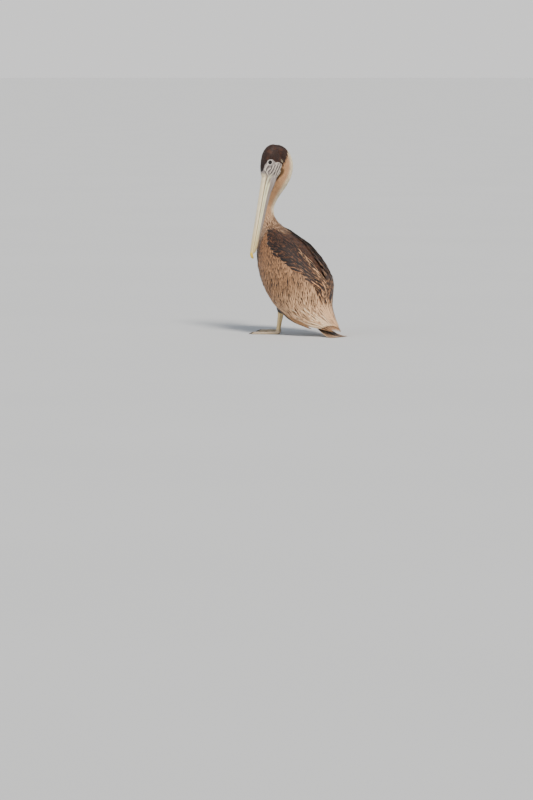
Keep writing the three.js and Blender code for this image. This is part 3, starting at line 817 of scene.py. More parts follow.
def shape_face(mesh):
    """Sinks the feathered head by its coat, and gives the bare face its folds, lids and sockets."""
    points, normals = vertices_of(mesh), normals_of(mesh)
    places = head_places(points)
    close = np.linalg.norm(points - HEAD_AT, axis=1) < 110
    bare = np.zeros(len(points))
    bare[close] = bareness(points[close])
    l = places[:, 1]
    head = ramp(neck.coordinates(points)[2], 0.86, 0.98) * close * ramp(l, 50, 40)
    sink = -COAT["crown"] * head * (1 - bare)
    height = np.zeros(len(points))
    worn = bare > 0.01
    height[worn] = folds(places[worn]) * bare[worn] * 0.9 - 2.0 * gape_closeness(places[worn])
    round_eye = eye_distance(places)
    calm = ramp(round_eye, 9.0, 12.0)
    points = points + normals * (sink + height * np.where(close, calm, 1))[:, None]

    # Lids: a wrinkled ring that stands up round the ball and dips to it, over a hollow behind.
    places = head_places(points)
    near = close & (round_eye < 13) & (np.abs(l) > 8)
    aside = np.abs(places[near, 1])
    r = round_eye[near]
    turn = np.arctan2(places[near, 2] - EYE_AT[2], places[near, 0] - EYE_AT[0])
    ball = EYE_AT[1] + np.sqrt(np.maximum(EYE_RADIUS**2 - r**2, 0))
    crease = 0.24 * np.cos(2 * np.pi * r / 1.5 + 0.6 * np.sin(3 * turn)) * ramp(r, 7.6, 8.4) * ramp(r, 12, 10)
    notches = 0.2 * np.cos(11 * turn + 2 * np.sin(2 * turn)) * ramp(r, 7.4, 8.4) * ramp(r, 11, 9.5)
    ring = (1.35 + 0.3 * np.cos(turn + 2.4)) * np.exp(-(((r - 8.7) / 1.15) ** 2)) + crease + notches
    lid = np.maximum(aside + ring, np.where(r < EYE_RADIUS, ball + 0.25, 0))
    hollow = EYE_AT[1] - 1.5
    opening = ramp(r, EYE_OPENING - 0.3, EYE_OPENING + 0.4)
    places[near, 1] = np.sign(l[near]) * mix(np.minimum(hollow, aside), lid, opening)
    points[near] = on_head(places[near])
    set_vertices(mesh, points)
    return points, bare


BILL_CREAM, RIDGE_TINT, GROOVE = shade(230, 218, 196), shade(222, 210, 186), shade(98, 82, 56)
BILL_GREY, BILL_OLIVE, BILL_TIP = shade(158, 148, 142), shade(168, 150, 116), shade(206, 188, 140)
GROOVE_ANGLE, TOMIUM_ANGLE = 80, 118  # degrees from the bill's ridge


def band(x, middle, width):
    """1 at the middle on either side of 0, falling off over the width."""
    return np.exp(-(((np.abs(x) - middle) / width) ** 2))


def upper_bill_colours(a, angle):
    """The upper jaw: a cream ridge, a dark groove on each side of it and a bright strip below."""
    side = np.abs(np.degrees(angle))
    tone = mix(RIDGE_TINT, BILL_OLIVE, 0.75 * ramp(side, 46, 76))
    tone = mix(tone, BILL_CREAM, ramp(side, GROOVE_ANGLE, GROOVE_ANGLE + 6))
    tone = mix(tone, BILL_TIP, 0.6 * ramp(a, 210, 345))
    tone = mix(tone, FACE_SKIN, 0.6 * ramp(a, 112, 64) * ramp(side, 36, 66) * ramp(side, 116, 96))
    tone = mix(tone, GROOVE, band(side, GROOVE_ANGLE, 6) * ramp(a, 60, 68) * ramp(a, 352, 330) * 0.95)
    return mix(tone, shade(140, 122, 100), band(side, TOMIUM_ANGLE, 5) * 0.7)


def skin_colours(points, bare):
    tint, _ = plumage(points)
    t, angle, depth = hull.coordinates(points)
    winged = on_wing(t, angle) & (depth > 0.8)
    tint[winged] = mix(LESSER, SILVER, ramp(t[winged], 0.3, 0.8))
    # Painted shade: the skin under the coat is darkened to stand for the shade in the gaps between feathers.
    tint = tint * 0.72
    worn = bare > 0.01
    places = head_places(points[worn])
    a, _, c = places.T
    bent, depth = bent_lines(places), folds(places)
    # Painted shade and light on the bare face: darker where it sinks between its folds and along its creases,
    # paler along the tops of the folds.
    face = mix(np.tile(FACE_SKIN, (worn.sum(), 1)), FACE_DARK, ramp(-depth, -0.15, 0.6) * 0.8)
    face = mix(face, FACE_PALE, line_closeness(bent, FACE_FOLDS, 1.8) * 0.85)
    face = mix(face, shade(72, 62, 64), line_closeness(bent, FACE_CREASES, 1.35) * 0.92)
    _, round_bill, _ = upper_bill.coordinates(points[worn])
    horn = upper_bill_colours(a, round_bill)
    above_gape = ramp(c - np.interp(a, *zip(*GAPE[0])), 0.5, 3)
    face = mix(face, horn, ramp(a + 2.5 * noise_at(places, 4.0, 14), 50, 68) * above_gape)
    r = eye_distance(places)
    face = mix(face, shade(224, 218, 212), np.exp(-(((r - 8.9) / 1.3) ** 2)) * 0.85)
    face = mix(face, shade(30, 24, 24), ramp(r, EYE_OPENING + 0.9, EYE_OPENING + 0.2))
    # Painted shade in the slit between the jaws.
    face = mix(face, shade(40, 36, 30), gape_closeness(places))
    tint[worn] = mix(tint[worn], face, bare[worn])
    return tint


def make_skin():
    parts = [
        tube(trunk.rings(90, 96, -COAT["body"])),
        tube(neck.rings(130, 56, -COAT["neck"])),
        tube(skull.rings(70, 64)),
        tube(cheek.rings(40, 40)),
    ]
    for side, thigh in zip(SIDES.values(), thighs):
        parts.append(wing_shell(side))
        parts.append(tube(thigh.rings(30, 32, -COAT["thigh"])))
    skin = fused("skin", parts, VOXEL, 6)
    refine_face(skin.data)
    points, bare = shape_face(skin.data)
    set_colour(skin.data, "tint", skin_colours(points, bare))
    set_number(skin.data, "bare", bare)
    skin.data.materials.append(skin_material())
    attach(skin, "root")
    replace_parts(skin, "head", "neck_upper", "neck_middle", "neck_lower", "trunk", "thigh_left", "thigh_right")
    return skin


skin = make_skin()
skin_points, skin_normals = vertices_of(skin.data), normals_of(skin.data)
skin_faces = [tuple(p.vertices) for p in skin.data.polygons]
tree = BVHTree.FromPolygons(skin_points.tolist(), skin_faces)


# ---------------------------------------------------------------- feathers

face_middles = np.array([skin_points[list(f)].mean(0) for f in skin_faces])
face_normals = unit(np.array([skin_normals[list(f)].mean(0) for f in skin_faces]))
WING_ARC, WING_LENGTH = 108.0, 510.0  # millimetres to a radian round the hull, and along it


def on_skin(points):
    """The nearest points of the skin, and its normals there."""
    feet, normals = np.empty_like(points), np.empty_like(points)
    for i, p in enumerate(points.tolist()):
        foot, _, face, _ = tree.find_nearest(p)
        feet[i] = foot
        normals[i] = face_normals[face]
    return feet, normals


def walk(roots, headings, lengths, steps):
    """Paths that set out from roots and keep to the skin, or run straight on where it ends."""
    feet, normals = on_skin(roots)
    path, ups = [feet], [normals]
    for _ in range(steps):
        step = (lengths / steps)[:, None]
        headings = unit(headings - normals * dot(headings, normals))
        ahead = feet + headings * step
        there, normal = on_skin(ahead)
        free = np.linalg.norm(there - ahead, axis=1) > 0.5 * step[:, 0] + 2.5
        there[free], normal[free] = ahead[free], normals[free]
        headings = unit(there - feet)
        feet = feet + headings * step
        feet, normals = np.where(free[:, None], feet, there), normal
        path.append(feet)
        ups.append(normals)
    return np.stack(path, 1), np.stack(ups, 1)


def base_of(s):
    return np.clip(0.3 + s / 0.3, 0, 1)


OUTLINES = {
    "oval": lambda s: base_of(s) * np.maximum(1 - np.clip((s - 0.3) / 0.7, 0, 1) ** 2.6, 0.03) ** 0.7,
    "blade": lambda s: base_of(2 * s) * np.sqrt(np.maximum(1 - np.clip((s - 0.86) / 0.14, 0, 1) ** 2, 0.02)),
    "quill": lambda s: base_of(2 * s) * np.maximum(1 - np.clip((s - 0.45) / 0.55, 0, 1) ** 2.2, 0.1),
}


def vanes(name, slot, material, path, ups, width, tint, fringe, edge, place, outline, **more):
    """One mesh of thin closed vanes along paths. Lengths and widths are in millimetres, per feather."""
    thick, lift, cup = more.get("thick", 0.7), more.get("lift", (0.1, 1.5)), more.get("cup", 0.08)
    rings, across, patch = more.get("rings", 5), more.get("across", 4), more.get("patch", (0.003, 0.003))
    rng = np.random.default_rng(more.get("seed", 1))
    count, known = len(path), path.shape[1]
    share = 1 - (1 - np.linspace(0, 1, rings)) ** (1.45 if rings < 8 else 1.25)
    at = share * (known - 1)
    low = np.minimum(at.astype(int), known - 2)
    w = (at - low)[None, :, None]
    line = path[:, low] * (1 - w) + path[:, low + 1] * w
    up = unit(ups[:, low] * (1 - w) + ups[:, low + 1] * w)
    tangent = unit(np.gradient(line, axis=1))
    side = unit(np.cross(tangent, up))
    up = np.cross(side, tangent)
    turn = np.linspace(0, 2 * np.pi, across, endpoint=False)
    u, h = np.round(np.cos(turn), 6), np.sin(turn)
    half = 0.5 * np.asarray(width)[:, None] * OUTLINES[outline](share)[None]
    half = half[:, :, None] * (1 + more.get("ragged", 0.07) * rng.standard_normal((count, rings, across)))
    root_lift, tip_lift = (np.asarray(value)[..., None] for value in lift)
    lifts = np.broadcast_to(root_lift + (tip_lift - root_lift) * share**0.8, (count, rings))
    lifts = lifts + more.get("stray", 0.25) * rng.standard_normal((count, 1)) * share
    body = 0.5 * thick * (1 - 0.65 * share)[None, :, None] * h
    height = lifts[:, :, None] + body - cup * half * u**2
    sway = more.get("sway", 0.0) * np.asarray(width)[:, None] * rng.standard_normal((count, 1)) * share**2
    aside = (half * u + sway[:, :, None])[..., None]
    points = line[:, :, None] + side[:, :, None] * aside + up[:, :, None] * height[..., None]
    points[..., 2] = np.maximum(points[..., 2], 0.25 + 0.3 * (h > 0) * thick)

    ring, j = np.arange(rings - 1)[:, None] * across, np.arange(across)[None]
    k = (j + 1) % across
    quads = np.stack([ring + j, ring + k, ring + across + k, ring + across + j], -1).reshape(-1, 4)
    cap = np.array([[0, i, i + 1, i + 2] for i in range(1, across - 1, 2)])
    quads = np.vstack([quads, cap[:, ::-1], cap + (rings - 1) * across])
    each = rings * across
    faces = (quads[None] + np.arange(count)[:, None, None] * each).reshape(-1, 4)
    v = points[0].reshape(-1, 3)
    p, q, r = v[quads[:, 0]], v[quads[:, 1]], v[quads[:, 2]]
    if (np.cross(p, q) * r).sum() + (np.cross(p, r) * v[quads[:, 3]]).sum() < 0:
        faces = faces[:, ::-1]

    mesh = bpy.data.meshes.new(name)
    mesh.vertices.add(count * each)
    mesh.vertices.foreach_set("co", to_part(points.reshape(-1, 3)).ravel())
    mesh.loops.add(faces.size)
    mesh.loops.foreach_set("vertex_index", faces.ravel().astype(np.int32))
    mesh.polygons.add(len(faces))
    mesh.polygons.foreach_set("loop_start", np.arange(len(faces), dtype=np.int32) * 4)
    mesh.update(calc_edges=True)
    mesh.polygons.foreach_set("use_smooth", np.full(len(faces), True))
    ends = np.empty(len(mesh.edges) * 2, np.int32)
    mesh.edges.foreach_get("vertices", ends)
    is_rim = np.tile(np.abs(u) > 0.99, count * rings)[ends.reshape(-1, 2)].all(1)
    mesh.attributes.new("sharp_edge", "BOOLEAN", "EDGE").data.foreach_set("value", is_rim)

    per_point = lambda x: np.repeat(x, each, axis=0)
    set_colour(mesh, "tint", per_point(np.broadcast_to(tint, (count, 3))))
    set_colour(mesh, "fringe", per_point(np.broadcast_to(fringe, (count, 3))))
    set_number(mesh, "edge", per_point(np.broadcast_to(edge, (count,))))
    luck = np.broadcast_to(rng.random((count, 1, 1)), (count, rings, across))
    wide = np.broadcast_to(u, (count, rings, across))
    down = np.broadcast_to(share[None, :, None], (count, rings, across))
    set_vector(mesh, "vane", np.stack([wide, down, luck], -1))
    spread = np.stack([wide * patch[0] / 2, (down - 0.5) * patch[1]], -1)
    spot = np.clip(place, 0.004, 0.996)[:, None, None] + spread
    corners = spot.reshape(-1, 2)[faces.ravel()].astype(np.float32)
    mesh.uv_layers.new(name="OFBake").data.foreach_set("uv", corners.ravel())
    mesh.materials.append(material)
    made = bpy.data.objects.new(name, mesh)
    bpy.context.scene.collection.objects.link(made)
    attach(made, "root")
    return made


def scatter(wanted, spacing, seed):
    """Points spread over the wanted faces of the skin, no two closer than the spacing there."""
    rng = np.random.default_rng(seed)
    chosen = np.flatnonzero(wanted)
    corners = np.array([skin_points[list((*skin_faces[i], skin_faces[i][-1])[:4])] for i in chosen])
    diagonals = corners[:, 2] - corners[:, 0], corners[:, 3] - corners[:, 1]
    area = np.maximum(0.5 * np.linalg.norm(np.cross(*diagonals), axis=1), 1e-6)
    gaps = spacing[chosen]
    chance = area / gaps**2
    total = int(7 * chance.sum())
    pick = rng.choice(len(chosen), total, p=chance / chance.sum())
    s, t = rng.random((2, total, 1))
    a, b, c, d = (corners[pick, k] for k in range(4))
    points = (a * (1 - s) + b * s) * (1 - t) + (d * (1 - s) + c * s) * t
    cell = float(gaps.max())
    grid, kept = {}, []
    keys = np.floor(points / cell).astype(int).tolist()
    near = [(i, j, k) for i in (-1, 0, 1) for j in (-1, 0, 1) for k in (-1, 0, 1)]
    listed, limit = points.tolist(), (gaps[pick] ** 2).tolist()
    for n in range(total):
        (x, y, z), (kx, ky, kz), far = listed[n], keys[n], limit[n]
        for i, j, k in near:
            others = grid.get((kx + i, ky + j, kz + k), ())
            if any((x - p) ** 2 + (y - q) ** 2 + (z - r) ** 2 < far for p, q, r in others):
                break
        else:
            grid.setdefault((kx, ky, kz), []).append((x, y, z))
            kept.append(n)
    return points[kept]


def varied(colours, amount, rng):
    return colours * (1 + amount * rng.standard_normal((len(colours), 1))).clip(0.5, 1.6)


def turned_about(vectors, axes, angle):
    """Vectors turned about unit axes square to them."""
    angle = np.asarray(angle)[:, None]
    return vectors * np.cos(angle) + np.cross(axes, vectors) * np.sin(angle)


def coat(name, slot, material, wanted, spacing, seed, length, width, steps=4, **more):
    """A tract of feathers over the wanted faces; length and width are functions of the roots."""
    rng = np.random.default_rng(seed)
    roots = scatter(wanted, spacing, seed)
    ways = lie(roots)
    _, normals = on_skin(roots)
    ways = unit(ways - normals * dot(ways, normals))
    ways = turned_about(ways, normals, rng.normal(0, more.pop("fan", 0.09), len(roots)))
    size = rng.normal(1, 0.1, len(roots)).clip(0.75, 1.25)
    path, ups = walk(roots, ways, length(roots) * size, steps)
    tint, fringe = plumage(roots)
    tint, fringe = varied(tint, more.pop("uneven", 0.1), rng), varied(fringe, 0.06, rng)
    place = more.pop("place")(roots)
    edge = more.pop("edge", 0.7)
    outline = more.pop("outline")
    return vanes(
        name, slot, material, path, ups, width(roots) * size, tint, fringe, edge, place, outline,
        seed=seed, **more,
    )


SMALL = feather_material("small_feathers", 9.0, shade(90, 70, 56))
LARGE = feather_material("large_feathers", 26.0, shade(74, 56, 46))
DARK = feather_material("dark_feathers", 26.0, shade(50, 36, 30), broken=0.75)

head_w, neck_w, hull_t, hull_angle, neck_t, neck_angle = part_weights(face_middles)
bare_w = bareness(face_middles)
winged = on_wing(hull_t, hull_angle) & (head_w + neck_w < 0.5)
covered = bare_w < 0.35
is_head = (head_w > 0.5) & covered
is_neck = (neck_w >= 0.5) & covered & ~is_head
is_body = ~is_head & ~is_neck & ~winged & covered
is_mantle = is_body & (np.abs(hull_angle) < np.radians(75))
is_body &= ~is_mantle


def spine_place(spine):
    def place(points):
        t, angle, _ = spine.coordinates(points)
        return np.column_stack([angle / (2 * np.pi) + 0.5, t])

    return place


def head_place(points):
    a, l, c = head_places(points).T
    return np.column_stack([np.arctan2(l, c + 10) / (2 * np.pi) + 0.5, (a + 70) / 190])


def neck_taper(points):
    return ramp(neck.coordinates(points)[0], 0.34, 0.08)


def make_coat():
    back_of_head = lambda p: ramp(head_places(p)[:, 0], 50, -40)
    spread = np.where(is_head, 1.5 + 0.55 * ramp(head_places(face_middles)[:, 0], 50, -40), 0)
    coat(
        "crown_feathers", "crown_feathers", SMALL, is_head, spread, 11,
        lambda p: 5.2 + 4.3 * back_of_head(p), lambda p: 2.0 + 0.9 * back_of_head(p),
        place=head_place, outline="oval", lift=(0.0, 1.2), thick=0.4, stray=0.3, uneven=0.2, fan=0.16,
    )
    spread = 2.3 + 2.3 * ramp(neck_t, 0.34, 0.08)
    for name, part, seed in (("upper", neck_t >= 0.62, 12), ("lower", neck_t < 0.62, 15)):
        coat(
            f"neck_feathers_{name}", "neck_feathers", SMALL, is_neck & part, spread, seed,
            lambda p: 13.0 + 13 * neck_taper(p), lambda p: 2.5 + 4.2 * neck_taper(p), rings=4,
            place=spine_place(neck), outline="oval", lift=(0.0, 1.4), thick=0.35, stray=0.4,
            uneven=0.08, fan=0.14, edge=0.6,
        )
    coat(
        "body_feathers", "body_feathers", LARGE, is_body, np.full(len(hull_t), SPACING["body"]), 13,
        lambda p: np.full(len(p), 23.0), lambda p: np.full(len(p), 7.6),
        place=spine_place(hull), outline="oval", lift=(0.2, 3.8), thick=0.7, stray=0.7, fan=0.14, edge=0.55,
    )
    coat(
        "mantle_feathers", "mantle_feathers", DARK, is_mantle, np.full(len(hull_t), SPACING["mantle"]), 14,
        lambda p: np.full(len(p), 28.0), lambda p: np.full(len(p), 10.0),
        place=spine_place(hull), outline="oval", lift=(0.2, 4.4), thick=0.8, stray=0.6, fan=0.12,
        across=6, edge=0.72,
    )


def wing_point(side, t, angle, lift):
    """A place over the folded wing's outline, lift below or above the full depth of its feathers."""
    first, last = wing_range(t)
    w = np.clip((angle - first) / (last - first), 0, 1)
    proud = along(WING_PROUD, (t - WING_FROM) / (1 - WING_FROM)) * np.sin(np.pi * w) ** 0.6
    beyond = np.maximum(t - 1, 0)[..., None] * WING_LENGTH
    made = hull.point(np.minimum(t, 1), side * angle, 0.6 + proud + lift)
    end, way = hull.middles[-1], hull.section(1.0)[1]
    return np.where(beyond > 0, end + (made - end) * (1 - beyond / 50) + way * beyond, made)


def glide(side, t, angle, slant, length, steps):
    """Paths over the folded wing's skin from places on it, turned by slant towards the belly."""
    path, ups = [], []
    step = length / steps
    for _ in range(steps + 1):
        here = wing_point(side, t, angle, -COAT["wing"])
        path.append(here)
        ups.append(unit(wing_point(side, t, angle, 2 - COAT["wing"]) - here))
        per_share = np.linalg.norm(wing_point(side, t + 0.002, angle, -COAT["wing"]) - here, axis=-1) / 0.002
        per_radian = np.linalg.norm(wing_point(side, t, angle + 0.01, -COAT["wing"]) - here, axis=-1) / 0.01
        t = t + step * np.cos(slant) / per_share
        angle = angle + step * np.sin(slant) / np.maximum(per_radian, 40)
    return np.stack(path, 1), np.stack(ups, 1)


def covert_sites(rng):
    """Rows of coverts over the folded wing: place on the hull, length and width of each feather."""
    sites = []
    slant, v, row = np.radians(20), 30.0, 0
    while v < 420:
        progress = np.clip((v - 70) / 290, 0, 1)
        length, width = mix(12.0, 60.0, progress**1.15), mix(4.8, 13.5, progress)
        u = np.arange(-190, 190, 0.6 * width) + (0.3 * width if row % 2 else 0) + rng.normal(0, 0.05 * width)
        u = u + rng.normal(0, 0.08 * width, len(u))
        x = v * np.cos(slant) - u * np.sin(slant) + rng.normal(0, 0.06 * length, len(u))
        y = v * np.sin(slant) + u * np.cos(slant) + 60
        sites.append(np.column_stack([x / WING_LENGTH, y / WING_ARC, 0 * u + length, 0 * u + width]))
        v += 0.36 * length
        row += 1
    sites = np.vstack(sites)
    t, angle = sites[:, 0], sites[:, 1]
    _, last = wing_range(t)
    along = (t > WING_FROM - 0.005) & (t < COVERTS_END)
    return sites[along & (angle < last + 0.01) & (angle > scapular_edge(t) - 0.2)]


def make_coverts(name, side):
    rng = np.random.default_rng(21 + side)
    t, angle, length, width = covert_sites(rng).T
    _, last = wing_range(t)
    edge_near = ramp(angle, last - np.radians(26), last)
    slant = np.radians(24) * ramp(t, 0.16, 0.24) * ramp(t, 0.78, 0.5) * (1 - 0.85 * edge_near)
    slant = slant - np.radians(10) * edge_near
    ways = slant + rng.normal(0, 0.08, len(t))
    path, ups = glide(side, t, angle, ways, length * rng.normal(1, 0.08, len(t)), 6)
    far = ramp(t, 0.22, 0.42)[:, None], ramp(t, 0.46, 0.62)[:, None]
    tint = mix(mix(LESSER, MEDIAN, far[0]), GREATER, far[1])
    fringe = mix(mix(LESSER_EDGE, MEDIAN_EDGE, far[0]), GREATER_EDGE, far[1])
    below = ramp(angle, np.radians(60), np.radians(120))[:, None]
    tint, fringe = tint * (0.86 + 0.2 * below), fringe * (0.92 + 0.14 * below)
    edge = mix(0.52, 0.42, ramp(t, 0.22, 0.42)) + rng.normal(0, 0.12, len(t))
    lift = 0.2 + 0 * t, 2.6 + 0.8 * ramp(t, 0.3, 0.6)
    place = np.column_stack([np.clip(angle / 2.4, 0, 1), t])
    made = vanes(
        f"coverts_{name}", "wing_feathers", LARGE, path, ups, width,
        varied(tint, 0.24, rng), varied(fringe, 0.15, rng),
        edge, place, "oval", thick=0.8, lift=lift, rings=7, across=6, stray=0.4, sway=0.1, seed=31 + side,
    )
    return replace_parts(made, f"wing_{name}_coverts")


def make_scapulars(name, side):
    rng = np.random.default_rng(41 + side)
    sites = []
    x, row = 0.17 * WING_LENGTH, 0
    while x < 0.66 * WING_LENGTH:
        progress = np.clip((x / WING_LENGTH - 0.2) / 0.36, 0, 1)
        length, width = mix(20.0, 74.0, progress), mix(8.5, 16.0, progress)
        t = x / WING_LENGTH
        low, high = wing_range(np.array([t]))[0][0] - 0.12, scapular_edge(t)
        y = np.arange(low, high, 0.62 * width / WING_ARC) + (row % 2) * 0.3 * width / WING_ARC
        y = y + rng.normal(0, 0.06 * width / WING_ARC, len(y))
        shares = t + rng.normal(0, 0.004, len(y))
        sites.append(np.column_stack([shares, y, 0 * y + length, 0 * y + width, high - y]))
        x += 0.34 * length
        row += 1
    t, angle, length, width, inner = np.vstack(sites).T
    slant = np.radians(-34) * ramp(inner, 0.9, 0.0) * ramp(t, 0.2, 0.3) * ramp(t, 0.66, 0.5) - np.radians(4)
    ways = slant + rng.normal(0, 0.09, len(t))
    path, ups = glide(side, t, angle, ways, length * rng.normal(1, 0.09, len(t)), 7)
    rear = ramp(t, 0.38, 0.56)[:, None] * (1.0 if side > 0 else 0.45)
    tint = mix(SCAPULAR, SCAPULAR_REAR, rear)
    inner_line = ramp(angle, np.radians(24), np.radians(16)) * ramp(t, 0.28, 0.36)
    inner_line = (inner_line * (1.0 if side > 0 else 0.3))[:, None]
    fringe = mix(mix(SCAPULAR_EDGE_TINT, SCAPULAR_REAR_EDGE, rear), shade(192, 162, 134), inner_line)
    edge = mix(0.8, 0.72, rear[:, 0]) - 0.2 * inner_line[:, 0] + rng.normal(0, 0.08, len(t))
    shoulder = ramp(angle, np.radians(60), np.radians(34)) * ramp(t, 0.24, 0.3)
    shoulder = shoulder * ramp(t, 0.5, 0.4) * (side < 0)
    lift = 2.2 + 2.6 * shoulder, 5.0 + 3.4 * shoulder
    place = np.column_stack([np.clip(angle / 1.6 + 0.1, 0, 1), t])
    made = vanes(
        f"scapulars_{name}", "mantle_feathers", DARK, path, ups, width,
        varied(tint, 0.4, rng), varied(fringe, 0.26, rng),
        edge, place, "quill", thick=1.0, lift=lift, rings=8, across=6, stray=0.6, sway=0.12, seed=51 + side,
    )
    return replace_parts(made, f"wing_{name}_scapulars")


def hull_paths(side, start, end, lift, steps=12):
    """Paths from (share, angle) to (share, angle) over the wing's outline, one for each row."""
    s = np.linspace(0, 1, steps + 1)[None]
    t = start[:, :1] * (1 - s) + end[:, :1] * s
    angle = start[:, 1:] * (1 - s) + end[:, 1:] * s
    lifts = lift[:, :1] * (1 - s) + lift[:, 1:] * s
    shape = t.shape
    t, angle, lifts = t.ravel(), angle.ravel(), lifts.ravel()
    path = wing_point(side, t, angle, lifts)
    ups = unit(wing_point(side, t, angle, lifts + 2) - path)
    return path.reshape(*shape, 3), ups.reshape(*shape, 3)


def make_flight(name, side):
    """Flight feathers: secondaries along the lower edge, silvery tertials to the tip, and the primaries."""
    rng = np.random.default_rng(61 + side)
    belly = lambda t: wing_range(t)[1]
    rows = []  # start (share, angle), end (share, angle), lifts, width, tint, fringe, edge

    def row(t0, a0, t1, a1, lift0, lift1, width, tint, fringe, edge):
        rows.append((t0, a0, t1, a1, lift0, lift1, width, tint, fringe, edge))

    for q in np.linspace(0, 1, 8):
        t0, t1 = 0.57 + 0.07 * q, 0.76 + 0.1 * q
        row(t0, belly(t0) + 0.02, t1, belly(t1) + 0.13, -3.2, 10.0, 17, QUILL_DARK, QUILL_EDGE, 0.7)
    for q in np.linspace(0, 1, 7):
        row(0.68 + 0.03 * q, np.radians(96 - 60 * q), 1.015 + 0.035 * q, np.radians(84 - 80 * q), -5.0, -2.6,
            15, QUILL_DARK, QUILL_EDGE, 0.72)
    for q in np.linspace(0, 1, 13):
        t0, t1 = 0.6 + 0.05 * q, 0.9 + 0.115 * q**0.6
        silver = ramp(q, 0.75, 0.45)
        tint, fringe = mix(GREATER, SILVER, silver), mix(GREATER_EDGE, SILVER_EDGE, silver)
        a0 = mix(belly(t0) - 0.06, np.radians(14), q**1.1)
        a1 = mix(belly(t1) + 0.02, np.radians(6), q**0.85)
        row(t0, a0, t1, a1, -5.2 + 2.2 * q, -1.4 + 2.6 * q + 0.5 * (side < 0), 20 + 5 * q,
            tint, fringe, mix(0.5, 0.7, silver))
    columns = (np.array(column, float) for column in zip(*rows))
    t0, a0, t1, a1, lift0, lift1, width, tint, fringe, edge = columns
    path, ups = hull_paths(side, np.stack([t0, a0], 1), np.stack([t1, a1], 1), np.stack([lift0, lift1], 1))
    column = np.arange(len(path))
    place = np.column_stack([0.07 + 0.12 * (column % 8), 0.13 + 0.25 * (column // 8)])
    made = vanes(
        f"flight_{name}", "flight_feathers", LARGE, path, ups, width,
        varied(tint, 0.07, rng), varied(fringe, 0.05, rng),
        edge, place, "quill", thick=1.1, lift=(0, 0), rings=16, across=8, stray=0.2, ragged=0.02,
        patch=(0.1, 0.22), seed=71 + side, cup=0.1,
    )
    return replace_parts(made, f"wing_{name}_primaries")


def make_tail():
    rng = np.random.default_rng(81)
    q = np.linspace(-1, 1, 14)
    s = np.linspace(0, 1, 13)[None]
    t = (0.26 + 0 * q)[:, None] * (1 - s) + (0.955 - 0.09 * np.abs(q) ** 2)[:, None] * s
    middle, _, left, up, *_ = tail.section(t.ravel())
    wide = (np.broadcast_to(q[:, None], t.shape) * (0.45 + 0.4 * s)).ravel()[:, None]
    fan = along([20, 32, 44, 50, 52, 52, 52], t.ravel())[:, None]
    layer = np.broadcast_to(((1 - np.abs(q)) * 2.2)[:, None], t.shape).ravel()[:, None]
    path = middle + left * wide * fan + up * (layer + 0.3)
    path, ups = path.reshape(*t.shape, 3), up.reshape(*t.shape, 3)
    tint, fringe = np.tile(TAIL_TINT, (14, 1)), np.tile(TAIL_EDGE, (14, 1))
    place = np.column_stack([0.08 + 0.13 * (np.arange(14) % 7), 0.25 + 0.45 * (np.arange(14) // 7)])
    made = vanes(
        "tail_feathers", "flight_feathers", LARGE, path, ups, np.full(14, 20.0),
        varied(tint, 0.12, rng), fringe,
        0.62, place, "blade", thick=1.1, lift=(0, 0), rings=16, across=8, stray=0.15, ragged=0.03,
        patch=(0.11, 0.42), seed=82, cup=0.05,
    )
    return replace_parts(made, "tail")


make_coat()
for wing_name, wing_side in SIDES.items():
    make_coverts(wing_name, wing_side)
    make_scapulars(wing_name, wing_side)
    make_flight(wing_name, wing_side)
make_tail()


# ---------------------------------------------------------------- bill, pouch and nail


def horn_piece(name, slot, material, spine, rows, across, carve, paint, node):
    """A lofted piece of the bill: carve gives how deep each point is cut, paint its two colours."""
    t = np.linspace(0, 1, rows + 1)[:, None] + np.zeros((1, across))
    angle = np.arange(across)[None] * 2 * np.pi / across + np.zeros((rows + 1, 1))
    signed = (angle + np.pi) % (2 * np.pi) - np.pi
    reach = head_places(catmull(spine.middles, t[:, 0]))[:, :1] + np.zeros((1, across))
    rings = spine.point(t, angle, -carve(reach, signed))
    verts, faces = tube(rings)
    made = make_object(name, verts, faces)
    mesh = made.data
    tint, fringe = paint(reach, signed)
    ends = lambda x: np.vstack([x.reshape(-1, 3), x[0].mean(0), x[-1].mean(0)])
    set_colour(mesh, "tint", ends(tint))
    set_colour(mesh, "fringe", ends(fringe))
    grain = np.stack([np.cos(angle) * 4.2, np.sin(angle) * 4.2, reach / 42], -1)
    set_vector(mesh, "grain", ends(grain))
    mesh.materials.append(material)
    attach(made, "root")
    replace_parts(made, node)
    return made


NAIL_TINT, NAIL_TIP = shade(210, 186, 100), shade(200, 180, 124)


